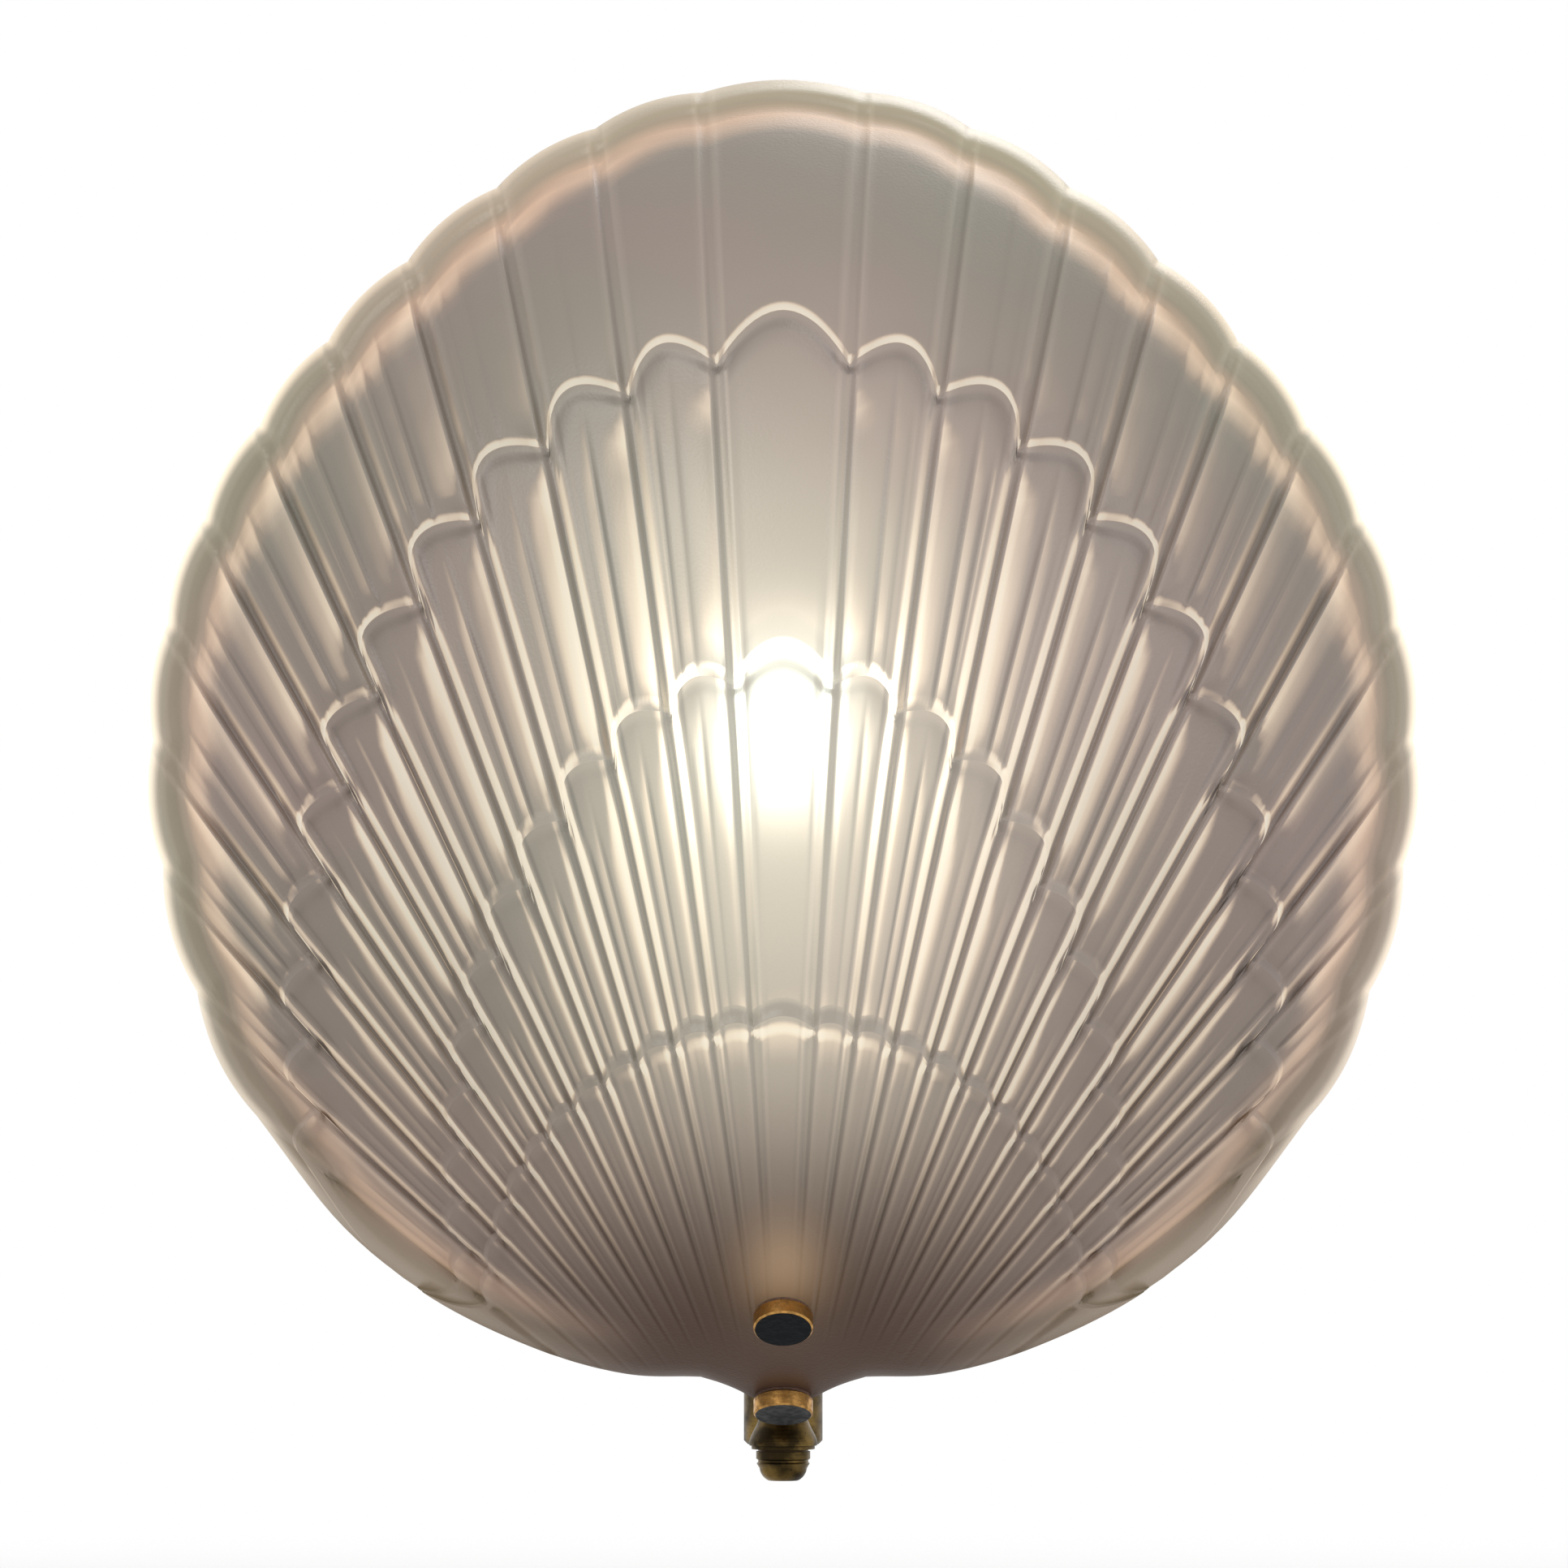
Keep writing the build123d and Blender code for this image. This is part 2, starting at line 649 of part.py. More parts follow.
with BuildPart() as wall_bracket:
    with BuildSketch(Plane.XY):
        with BuildLine():
            Polyline((-ear_face, 0), (ear_face, 0), (ear_face, -bracket_ear),
                     (ear_face - bracket_thickness, -bracket_ear),
                     (ear_face - bracket_thickness, -bracket_thickness),
                     (bracket_thickness - ear_face, -bracket_thickness),
                     (bracket_thickness - ear_face, -bracket_ear), (-ear_face, -bracket_ear), close=True)
        make_face()
    extrude(amount=bracket_width / 2, both=True)
    with BuildSketch(upright_plane(0)):
        with Locations((-wall_hole_spacing / 2, 0), (wall_hole_spacing / 2, 0)):
            Circle(wall_hole / 2)
        Circle(tube_radius)
        with Locations((earth_x, 0)):
            Circle(earth_screw / 2)
    extrude(amount=bracket_thickness, mode=Mode.SUBTRACT)
    with BuildSketch(Plane.YZ):
        with Locations((-side_screw_depth, 0)):
            Circle(side_screw / 2)
    extrude(amount=ear_face, both=True, mode=Mode.SUBTRACT)
wall_bracket.part.label = "wall_bracket"
export_step(wall_bracket.part, "parts/wall_bracket.step")

with BuildPart() as canopy_screws:
    for side in (1, -1):
        head_plane = Plane(origin=(side * canopy_radius, -side_screw_depth, 0), z_dir=(side, 0, 0))
        with BuildSketch(head_plane):
            Circle(side_screw_head / 2)
        extrude(amount=side_screw_head_height)
        with BuildSketch(head_plane):
            Circle(side_screw / 2)
        extrude(amount=ear_face - bracket_thickness - canopy_radius - 1.5)
        with Locations((side * (canopy_radius + side_screw_head_height), -side_screw_depth, 0)):
            Box(1.6, side_screw_head, 0.9, mode=Mode.SUBTRACT)
canopy_screws.part.label = "canopy_screws"
export_step(canopy_screws.part, "parts/canopy_screws.step")

block_front = -bracket_thickness - block_size[1]
clamp_places = [(block_x + sx * block_size[0] / 4, sz * block_size[2] / 4)
                for sx in (-1, 1) for sz in (-1, 1)]
with BuildPart() as terminal_block:
    with Locations((block_x, -bracket_thickness - block_size[1] / 2, 0)):
        Box(*block_size)
    fillet(terminal_block.edges().filter_by(Axis.Y), radius=1.2)
    with BuildSketch(Plane.XY):
        with Locations(*[(block_x + sx * block_size[0] / 4, wire_y) for sx in (-1, 1)]):
            Circle(wire_hole / 2)
    extrude(amount=block_size[2] / 2, both=True, mode=Mode.SUBTRACT)
    with BuildSketch(upright_plane(block_front)):
        with Locations(*clamp_places):
            Circle(clamp_screw / 2)
    extrude(amount=-clamp_screw_depth, mode=Mode.SUBTRACT)
terminal_block.part.label = "terminal_block"
export_step(terminal_block.part, "parts/terminal_block.step")

with BuildPart() as terminal_screws:
    with BuildSketch(upright_plane(block_front)):
        with Locations(*clamp_places):
            Circle(clamp_screw / 2)
    extrude(amount=-clamp_screw_depth)
    with BuildSketch(upright_plane(block_front)):
        with Locations(*clamp_places):
            Rectangle(clamp_screw, 0.7)
    extrude(amount=-0.9, mode=Mode.SUBTRACT)
terminal_screws.part.label = "terminal_screws"
export_step(terminal_screws.part, "parts/terminal_screws.step")

earth_seat = -bracket_thickness - earth_washer_height
with BuildPart() as earth_washer:
    with BuildSketch(upright_plane(-bracket_thickness)):
        with Locations((earth_x, 0)):
            Circle(earth_washer_diameter / 2)
            Circle(earth_screw / 2 + running_gap, mode=Mode.SUBTRACT)
    extrude(amount=earth_washer_height)
earth_washer.part.label = "earth_washer"
export_step(earth_washer.part, "parts/earth_washer.step")

with BuildPart() as earth_terminal_screw:
    with BuildSketch(upright_plane(earth_seat)):
        with Locations((earth_x, 0)):
            Circle(earth_head / 2)
    extrude(amount=2.6)
    with BuildSketch(upright_plane(-0.2)):
        with Locations((earth_x, 0)):
            Circle(earth_screw / 2)
    extrude(amount=-0.2 - earth_seat)
    with BuildSketch(upright_plane(earth_seat - 2.6)):
        with Locations((earth_x, 0)):
            Rectangle(earth_head, 1.0)
    extrude(amount=-1.2, mode=Mode.SUBTRACT)
earth_terminal_screw.part.label = "earth_terminal_screw"
export_step(earth_terminal_screw.part, "parts/earth_terminal_screw.step")

# ---------------------------------------------------------------- lampholder

cap_top = holder_z + holder_cap_height
sleeve_inside = holder_radius - holder_wall
cap_edge = holder_radius - holder_wall / 2


def cap_dome(inset):
    """One face of the dome, from the straight side down to its flat foot."""
    side = (cap_edge - inset, holder_z + holder_dome)
    return TangentArc(side, (holder_foot, holder_z + inset), tangent=(0, -1))


with BuildPart() as holder_lock_nut:
    with BuildSketch(level_plane(pivot_y, holder_z)):
        RegularPolygon(lock_nut_flats / 2, 6, major_radius=False)
        Circle(stem_radius, mode=Mode.SUBTRACT)
    extrude(amount=-lock_nut_height)
holder_lock_nut.part.label = "holder_lock_nut"
export_step(holder_lock_nut.part, "parts/holder_lock_nut.step")

with BuildPart() as holder_cap:
    with BuildSketch(upright_plane(pivot_y)):
        with BuildLine():
            outside = cap_dome(0)
            inside = cap_dome(holder_cap_wall)
            Polyline(outside @ 0, (cap_edge, cap_top), (cap_edge - holder_cap_wall, cap_top), inside @ 0)
            Polyline(inside @ 1, (stem_radius + boss_wall, holder_z + holder_cap_wall),
                     (stem_radius + boss_wall, stem_top), (stem_radius, stem_top),
                     (stem_radius, holder_z), outside @ 1)
        make_face()
    revolve(axis=upright_axis(pivot_y))
holder_cap.part.label = "holder_cap"
export_step(holder_cap.part, "parts/holder_cap.step")

sleeve_top = cap_top + sleeve_height
holder_sleeve = turned([
    (sleeve_inside, cap_top), (holder_radius, cap_top), (holder_radius, sleeve_top - 2.2),
    (holder_radius + 0.5, sleeve_top - 1.8), (holder_radius + 0.5, sleeve_top - 0.5),
    (holder_radius, sleeve_top), (sleeve_inside, sleeve_top)], pivot_y)
holder_sleeve.part.label = "holder_sleeve"
export_step(holder_sleeve.part, "parts/holder_sleeve.step")

core_radius = sleeve_inside - running_gap
core_top = cap_top + core_height
socket_floor = cap_top + core_floor
core_bore = socket_radius + 2 * running_gap
screw_ring = (core_bore + core_radius) / 2
with BuildPart() as holder_core:
    with BuildSketch(level_plane(pivot_y, cap_top)):
        Circle(core_radius)
    extrude(amount=core_height)
    with BuildSketch(level_plane(pivot_y, socket_floor)):
        Circle(core_bore)
    extrude(amount=core_height - core_floor, mode=Mode.SUBTRACT)
    with BuildSketch(level_plane(pivot_y, core_top)):
        with Locations((-screw_ring, 0), (screw_ring, 0)):
            Circle(1.2)
    extrude(amount=-6, mode=Mode.SUBTRACT)
holder_core.part.label = "holder_core"
export_step(holder_core.part, "parts/holder_core.step")

with BuildPart() as holder_terminal_screws:
    with BuildSketch(level_plane(pivot_y, core_top - 6)):
        with Locations((-screw_ring, 0), (screw_ring, 0)):
            Circle(1.2)
    extrude(amount=6)
    with BuildSketch(level_plane(pivot_y, core_top)):
        with Locations((-screw_ring, 0), (screw_ring, 0)):
            Circle(1.8)
    extrude(amount=1.3)
    with BuildSketch(level_plane(pivot_y, core_top + 1.3)):
        with Locations((-screw_ring, 0), (screw_ring, 0)):
            Rectangle(0.6, 3.6)
    extrude(amount=-0.7, mode=Mode.SUBTRACT)
holder_terminal_screws.part.label = "holder_terminal_screws"
export_step(holder_terminal_screws.part, "parts/holder_terminal_screws.step")

socket_thread = ring(socket_radius, socket_radius - socket_wall, socket_floor, core_top, pivot_y)
socket_thread.part.label = "socket_thread"
export_step(socket_thread.part, "parts/socket_thread.step")

contact_top = socket_floor + socket_contact_height
socket_contact = turned([
    (0, socket_floor), (3, socket_floor), (3, socket_floor + 1), (1.6, socket_floor + 1.4),
    (1.6, contact_top), (0, contact_top)], pivot_y)
socket_contact.part.label = "socket_contact"
export_step(socket_contact.part, "parts/socket_contact.step")

# ---------------------------------------------------------------- candle bulb

tip_top = contact_top + bulb_tip_height
cap_foot = tip_top + 2.0
bulb_foot = cap_foot + bulb_cap_height
bulb_contact = ring(2.4, 0, contact_top, tip_top, pivot_y)
bulb_contact.part.label = "bulb_contact"
export_step(bulb_contact.part, "parts/bulb_contact.step")

bulb_insulator = turned([
    (0, tip_top), (3, tip_top), (bulb_cap_radius - 0.4, cap_foot), (0, cap_foot)], pivot_y)
bulb_insulator.part.label = "bulb_insulator"
export_step(bulb_insulator.part, "parts/bulb_insulator.step")

bulb_cap = ring(bulb_cap_radius, bulb_cap_radius - bulb_cap_wall, cap_foot, bulb_foot, pivot_y)
bulb_cap.part.label = "bulb_cap"
export_step(bulb_cap.part, "parts/bulb_cap.step")


def candle(inset):
    """Solid candle shape, inset from the outside of the bulb."""
    bulb_neck = bulb_cap_radius - 0.2
    heights = (0, 0.08, 0.40, 0.74)
    radii = (bulb_neck, bulb_neck + 1.2, bulb_radius, bulb_radius * 0.68)
    side = [(radius - inset, bulb_foot + bulb_height * share) for share, radius in zip(heights, radii)]
    top = (0, bulb_foot + bulb_height - inset)
    with BuildPart() as shape:
        with BuildSketch(upright_plane(pivot_y)):
            with BuildLine():
                Spline(*side, top, tangents=((0, 1), (-1, 0.25)))
                Polyline(top, (0, bulb_foot), side[0])
            make_face()
        revolve(axis=upright_axis(pivot_y))
    return shape.part


bulb_hollow = candle(bulb_wall)
with BuildPart() as bulb_glass:
    add(candle(0))
    add(bulb_hollow, mode=Mode.SUBTRACT)
bulb_glass.part.label = "bulb_glass"
export_step(bulb_glass.part, "parts/bulb_glass.step")
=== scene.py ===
import math

import bmesh
import bpy
import numpy as np
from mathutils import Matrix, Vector


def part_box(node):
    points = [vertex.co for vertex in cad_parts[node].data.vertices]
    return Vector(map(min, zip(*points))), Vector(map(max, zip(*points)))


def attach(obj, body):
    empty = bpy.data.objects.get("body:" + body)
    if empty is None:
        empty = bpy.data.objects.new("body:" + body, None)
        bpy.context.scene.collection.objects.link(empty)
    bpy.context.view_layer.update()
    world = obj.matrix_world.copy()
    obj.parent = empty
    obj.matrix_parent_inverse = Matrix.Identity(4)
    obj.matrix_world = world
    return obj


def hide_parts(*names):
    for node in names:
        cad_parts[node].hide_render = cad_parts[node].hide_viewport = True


# Wall light with a satin pressed-glass scallop on a brass swivel arm. Metres, X to the right,
# Y into the wall, Z up; the origin is the middle of the canopy, on the wall.
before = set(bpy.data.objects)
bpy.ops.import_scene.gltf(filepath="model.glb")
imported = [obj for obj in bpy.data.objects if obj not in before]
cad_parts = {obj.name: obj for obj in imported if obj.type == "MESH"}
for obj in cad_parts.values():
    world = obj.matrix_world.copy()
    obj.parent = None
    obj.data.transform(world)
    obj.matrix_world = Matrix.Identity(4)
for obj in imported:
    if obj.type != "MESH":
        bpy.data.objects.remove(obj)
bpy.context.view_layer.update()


# ------------------------------------------------------------------ wall bracket
# The bracket is a bent strip of zinc-plated steel, screwed flat to the wall. The earth screw
# and its washer have the same plating.

def new_finish(name):
    """A material and its tree, with the one shader that every finish starts from."""
    finish = bpy.data.materials.new(name)
    finish.use_nodes = True
    return finish, finish.node_tree, finish.node_tree.nodes["Principled BSDF"]


def set_sockets(tree, step, sockets):
    """Gives sockets of a node a number, a colour or another node's output."""
    for name, value in sockets.items():
        if isinstance(value, bpy.types.NodeSocket):
            tree.links.new(value, step.inputs[name])
        else:
            step.inputs[name].default_value = value


def add(tree, kind, sockets, **settings):
    """Adds a node to a finish or a relief."""
    step = tree.nodes.new(kind)
    for name, value in settings.items():
        setattr(step, name, value)
    set_sockets(tree, step, sockets)
    return step


def coat(finish, *pieces):
    """Gives a finish to CAD pieces, whose own mesh stays as it is."""
    for piece in pieces:
        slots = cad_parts[piece].material_slots
        for slot in slots:
            slot.link = "OBJECT"
            slot.material = finish


def own_place(tree):
    """Where a point lies, in metres."""
    return add(tree, "ShaderNodeTexCoord", {}).outputs["Object"]


def mottle(tree, scale, detail, low, high):
    """A soft patchy value from 0 to 1; scale is in patches to the metre."""
    patches = add(tree, "ShaderNodeTexNoise", {"Vector": own_place(tree), "Scale": scale, "Detail": detail})
    return add(tree, "ShaderNodeMapRange", {
        "Value": patches.outputs["Fac"], "From Min": low, "From Max": high}).outputs["Result"]


def between(tree, share, first, second):
    """A colour between two, by a share from 0 to 1."""
    return add(tree, "ShaderNodeMix", {"Factor": share, 6: first, 7: second}, data_type="RGBA").outputs[2]


def within(tree, share, low, high):
    """A value between two, by a share from 0 to 1."""
    return add(tree, "ShaderNodeMapRange", {"Value": share, "To Min": low, "To Max": high}).outputs["Result"]


def roughen(tree, shader, height, depth):
    """Bumps a finish by a height from 0 to 1, at a depth in metres."""
    bump = add(tree, "ShaderNodeBump", {"Height": height, "Distance": depth, "Strength": 1.0})
    set_sockets(tree, shader, {"Normal": bump.outputs["Normal"]})


def zinc_plating():
    finish, tree, shader = new_finish("zinc_plating")
    spangle = mottle(tree, 420.0, 3.0, 0.35, 0.65)
    grime = mottle(tree, 70.0, 5.0, 0.45, 0.70)
    plate = between(tree, spangle, (0.50, 0.51, 0.51, 1), (0.68, 0.68, 0.66, 1))
    set_sockets(tree, shader, {
        "Base Color": between(tree, grime, plate, (0.36, 0.34, 0.30, 1)),
        "Roughness": within(tree, spangle, 0.28, 0.46), "Metallic": 1.0})
    roughen(tree, shader, spangle, 0.00002)
    return finish


coat(zinc_plating(), "wall_bracket", "earth_terminal_screw", "earth_washer", "terminal_screws",
     "holder_terminal_screws")


# ------------------------------------------------------------------ terminal block
# The two-way terminal block is moulded in white nylon, a little yellowed by the lamp's heat.
# Its clamp screws and those of the lampholder are plated like the bracket.

def nylon():
    finish, tree, shader = new_finish("nylon")
    tone = mottle(tree, 160.0, 4.0, 0.35, 0.70)
    set_sockets(tree, shader, {
        "Base Color": between(tree, tone, (0.78, 0.77, 0.71, 1), (0.66, 0.62, 0.50, 1)),
        "Roughness": 0.45, "Subsurface Weight": 0.1, "Subsurface Scale": 0.001})
    roughen(tree, shader, mottle(tree, 1600.0, 2.0, 0.3, 0.7), 0.00003)
    return finish


coat(nylon(), "terminal_block")


# ------------------------------------------------------------------ brass parts of wall and arm
# The canopy is spun from brass sheet; collar, nuts, elbow and tube are turned or drawn. All of it
# has gone brown with age, and is brighter only where it was handled.

def aged_brass(name, bright, brown, wear, ring_pitch):
    """Brass whose lathe rings lie one above the other along Z."""
    finish, tree, shader = new_finish(name)
    patina = mottle(tree, 130.0, 6.0, wear - 0.12, wear + 0.12)
    specks = mottle(tree, 900.0, 3.0, 0.62, 0.72)
    worn = between(tree, patina, bright, brown)
    set_sockets(tree, shader, {
        "Base Color": between(tree, specks, worn, (0.035, 0.022, 0.012, 1)),
        "Roughness": within(tree, patina, 0.24, 0.46), "Metallic": 1.0})
    rings = add(tree, "ShaderNodeTexWave", {
        "Vector": own_place(tree), "Scale": 1 / ring_pitch, "Distortion": 0.4}, bands_direction="Z")
    roughen(tree, shader, rings.outputs["Fac"], 0.000012)
    return finish


brass = aged_brass("aged_brass", (0.46, 0.32, 0.12, 1), (0.17, 0.11, 0.045, 1), 0.50, 0.004)
coat(brass, "canopy", "canopy_screws", "arm_tube", "arm_collar", "arm_lock_nut")


# ------------------------------------------------------------------ swivel
# Barrel, bell and finial are turned brass with a few rubbed edges; their near-black colour in front is a
# painted dark reflection of the room. They carry the shade and let it swing between two washers of brown
# bronze.

dark_reflection_brass = aged_brass("dark_reflection_brass", (0.20, 0.130, 0.040, 1), (0.028, 0.019, 0.008, 1), 0.48, 0.0025)
bronze = aged_brass("washer_bronze", (0.12, 0.070, 0.030, 1), (0.035, 0.022, 0.012, 1), 0.50, 0.002)
coat(dark_reflection_brass, "arm_elbow", "pivot_body", "swivel_finial")
coat(bronze, "top_friction_washer", "lower_friction_washer")


# ------------------------------------------------------------------ strap and stem
# A bent brass strip stands on the swivel behind the glass. Two studs with nuts fix the glass on
# it, and the hollow stem rises from it to the lampholder.

coat(brass, "shade_strap", "lamp_stem", "strap_lock_nut", "fixing_studs", "stud_nuts", "holder_lock_nut")


# ------------------------------------------------------------------ lampholder
# Brass cap and sleeve round a glazed porcelain core, with a nickel-washed screw thread. The
# bulb's own screw cap is washed with nickel too.

def porcelain():
    finish, tree, shader = new_finish("porcelain")
    tone = mottle(tree, 220.0, 5.0, 0.40, 0.75)
    set_sockets(tree, shader, {
        "Base Color": between(tree, tone, (0.76, 0.75, 0.71, 1), (0.60, 0.56, 0.48, 1)),
        "Roughness": 0.22, "Coat Weight": 0.4})
    roughen(tree, shader, mottle(tree, 500.0, 2.0, 0.3, 0.7), 0.00004)
    return finish


def nickel_wash():
    """Thin nickel over brass, with the bands of the screw thread."""
    finish, tree, shader = new_finish("nickel_wash")
    tone = mottle(tree, 340.0, 5.0, 0.40, 0.66)
    set_sockets(tree, shader, {
        "Base Color": between(tree, tone, (0.66, 0.62, 0.52, 1), (0.46, 0.38, 0.24, 1)),
        "Roughness": within(tree, tone, 0.22, 0.40), "Metallic": 1.0})
    thread = add(tree, "ShaderNodeTexWave", {"Vector": own_place(tree), "Scale": 110.0}, bands_direction="Z")
    roughen(tree, shader, thread.outputs["Fac"], 0.0005)
    return finish


coat(brass, "holder_cap", "holder_sleeve")
coat(porcelain(), "holder_core", "bulb_insulator")
coat(nickel_wash(), "socket_thread", "socket_contact", "bulb_cap", "bulb_contact")


# ------------------------------------------------------------------ candle bulb
# A small screw-cap candle bulb of inside-frosted glass, lit. It is brightest at its middle,
# where the filament hangs, and warmer towards its neck.

def ease(tree, value, low, high):
    """A smooth rise from 0 at low to 1 at high."""
    return add(tree, "ShaderNodeMapRange", {"Value": value, "From Min": low, "From Max": high},
               interpolation_type="SMOOTHSTEP").outputs["Result"]


def lit_bulb():
    finish, tree, shader = new_finish("lit_bulb")
    low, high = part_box("bulb_glass")
    height = add(tree, "ShaderNodeSeparateXYZ", {"Vector": own_place(tree)}).outputs["Z"]
    above_neck = ease(tree, height, low.z, low.z + 0.45 * (high.z - low.z))
    frost = mottle(tree, 2600.0, 2.0, 0.35, 0.65)
    set_sockets(tree, shader, {
        "Base Color": between(tree, frost, (0.84, 0.82, 0.77, 1), (0.90, 0.88, 0.84, 1)), "Roughness": 0.5,
        "Emission Color": between(tree, above_neck, (0.90, 0.52, 0.22, 1), (1.0, 0.86, 0.64, 1)),
        "Emission Strength": 3.0})
    roughen(tree, shader, frost, 0.00002)
    return finish


coat(lit_bulb(), "bulb_glass")


# ------------------------------------------------------------------ glass shell
# The scallop is one pressing of glass with satin faces: a fan of panels with valleys between
# them, three scalloped growth steps and a rolled rim. Its back is a smooth ball, ground flat below.

shell_centre = Vector((0.0, -0.019, 0.085))
bowl_radius = 0.147
tier_step = 0.001
glass_wall = 0.004
ground_edge = 0.051             # flat back edge in front of the bowl's centre
outline_guard = 0.0003          # the outline stays this far in front of the ground edge
front_guard = 0.0004            # and the pressed front this far
rounding_guard = 0.001          # and the rounding of the rim this far
most_rounding = 0.0026
outline_waves = (0.1317, -0.00462, 0.0025, 0.0027, 0.0013, 0.00165)
fan_drop = 0.166
half_panel = math.radians(3.2)
panel_angle = math.radians(4.4)
side_panels = 11
rim_bulge = 0.08
flank_turns = (138, 148, 158, 166)      # degrees from the top where the plain flanks follow the waves
shoulder_turn = 172
shoulder_lift = 0.0016
tab_half_width = 0.0068
tab_shoulder = 0.017
tab_drop = 0.1405
tab_round = 0.0032
umbo_reach = (0.042, 0.072)     # the relief fades in between these distances from the fan centre
# each growth line is an ellipse: half its width, half its height, its middle below the bowl's centre
growth_lines = ((0.0610, 0.0620, 0.1210), (0.0653, 0.1085, 0.0978), (0.0960, 0.1416, 0.0653))
arch_rises = (0.20, 0.36, 0.42)
step_run = 0.0010               # the drop of a growth step, seen from the front
points_in_bend = 24
points_in_tab = 17
columns_in_flank = 12
rows_in_tier = (26, 26, 28, 34)
row_crowding = (1.5, 1.15, 1.15, 1.15)
inner_rows = 14


def rim_radius(turn):
    """Plain outline about the bowl's centre; turn is the angle from the top."""
    return sum(size * np.cos(wave * turn) for wave, size in enumerate(outline_waves))


def rim_reach(angle):
    """Distance from the fan centre to the plain outline along lines of the fan."""
    near = fan_drop * np.cos(angle)
    far = np.full_like(near, 2 * fan_drop)
    for halving in range(40):
        reach = (near + far) / 2
        x = reach * np.sin(angle)
        z = reach * np.cos(angle) - fan_drop
        inside = np.hypot(x, z) < rim_radius(np.arctan2(x, z))
        near = np.where(inside, reach, near)
        far = np.where(inside, far, reach)
    return near


def growth_reach(angle, line):
    """Distance from the fan centre to the cusps of a growth line, an ellipse."""
    half_width, height, drop = line
    across = np.sin(angle) / half_width
    along = np.cos(angle) / height
    start = (fan_drop - drop) / height
    square = across ** 2 + along ** 2
    return (along * start + np.sqrt((along * start) ** 2 - square * (start ** 2 - 1))) / square


side_fan = half_panel + panel_angle * np.arange(side_panels + 1)
fan_angles = np.concatenate([-side_fan[::-1], side_fan])


def arches(ends, rise):
    """Points of one bulging arc for each panel, through the panels' corner points."""
    points = []
    for start, end in zip(ends, ends[1:]):
        chord = end - start
        outward = np.array([-chord[1], chord[0]])
        for share in np.linspace(0, 1, points_in_bend, endpoint=False):
            points.append(start + share * chord + 4 * rise * share * (1 - share) * outward)
    points.append(ends[-1])
    return np.array(points)


def fan_points(angle, reach):
    """Points (x, z) about the fan centre."""
    return np.stack([reach * np.sin(angle), reach * np.cos(angle)], 1)


def smooth_line(points):
    """A smooth line through points, by cubic pieces."""
    points = np.array(points)
    ghosts = np.concatenate([[2 * points[0] - points[1]], points, [2 * points[-1] - points[-2]]])
    line = []
    for a, b, c, d in zip(ghosts, ghosts[1:], ghosts[2:], ghosts[3:]):
        for t in np.linspace(0, 1, points_in_bend, endpoint=False):
            line.append(0.5 * (2 * b + (c - a) * t + (2 * a - 5 * b + 4 * c - d) * t ** 2
                               + (3 * b - a - 3 * c + d) * t ** 3))
    return np.array(line + [points[-1]])


def shell_outline():
    """The outline about the fan centre, over the top to the right, down the flank, tab, and up."""
    rim = arches(fan_points(fan_angles, rim_reach(fan_angles)), rim_bulge)
    turns = np.radians(flank_turns)
    radii = rim_radius(turns)
    flank = np.stack([radii * np.sin(turns), fan_drop + radii * np.cos(turns)], 1)
    last = np.radians(shoulder_turn)
    shoulder = (tab_shoulder, fan_drop + rim_radius(last) * np.cos(last) + shoulder_lift)
    right = smooth_line([rim[-1], *flank, shoulder])
    left = right[::-1] * (-1, 1)
    tab_share = np.linspace(0.5, -0.5, points_in_tab)
    tab_z = fan_drop - tab_drop + tab_round
    tab = np.stack([2 * tab_half_width * tab_share, tab_z - tab_round * (1 - 4 * tab_share ** 2)], 1)
    line = np.concatenate([rim, right[1:], tab, left[:-1]])
    # nothing reaches past the widest circle of the ground bowl
    widest = math.sqrt(bowl_radius ** 2 - (ground_edge + outline_guard) ** 2)
    middle = np.array([0, fan_drop])
    spread = np.hypot(line[:, 0], line[:, 1] - fan_drop)
    drawn_in = middle + (line - middle) * (widest / spread)[:, None]
    return np.where((spread > widest)[:, None], drawn_in, line)


outline = shell_outline()
closed_outline = np.concatenate([outline, outline[:1]])
outline_angle = np.arctan2(outline[:, 0], outline[:, 1])
outline_reach = np.hypot(outline[:, 0], outline[:, 1])


def outline_ends(angle):
    """Where a line of the fan enters and leaves the outline."""
    start, end = outline_angle, np.roll(outline_angle, -1)
    crossed = (start <= angle) != (end <= angle)
    share = (angle - start[crossed]) / (end - start)[crossed]
    reach = outline_reach[crossed] + share * (np.roll(outline_reach, -1) - outline_reach)[crossed]
    return reach.min(), reach.max()


# the columns of the fan, closer together at joints and at the crests of the flutes, and beyond it to
# the widest line; a panel's places run from the joint nearer the middle line to the farther one
flutes = ((0.09, 0.36, 1.0), (0.55, 0.17, 0.6), (0.77, 0.15, 0.5))      # crest, width, steepness
crest_run = 0.06                # share of a panel in which a flute rises to its crest
slope_hollow = 1.5              # power of the slope behind the crest, 1 for a straight one
places = [0, 0.020, 0.045, 0.068, 0.09, 0.12, 0.17, 0.23, 0.29, 0.35, 0.41, 0.46, 0.50, 0.525, 0.55, 0.58,
          0.63, 0.68, 0.72, 0.745, 0.77, 0.80, 0.84, 0.89, 0.93, 0.955, 0.98]
angles, acrosses, panels = [], [], []
for number, (start, end) in enumerate(zip(fan_angles, fan_angles[1:])):
    outward = places if number >= side_panels else [0.0] + [1 - place for place in places[:0:-1]]
    for place in outward:
        angles.append(start + place * (end - start))
        acrosses.append(2 * place - 1)
        panels.append(number)
left_columns = columns_in_flank - 1
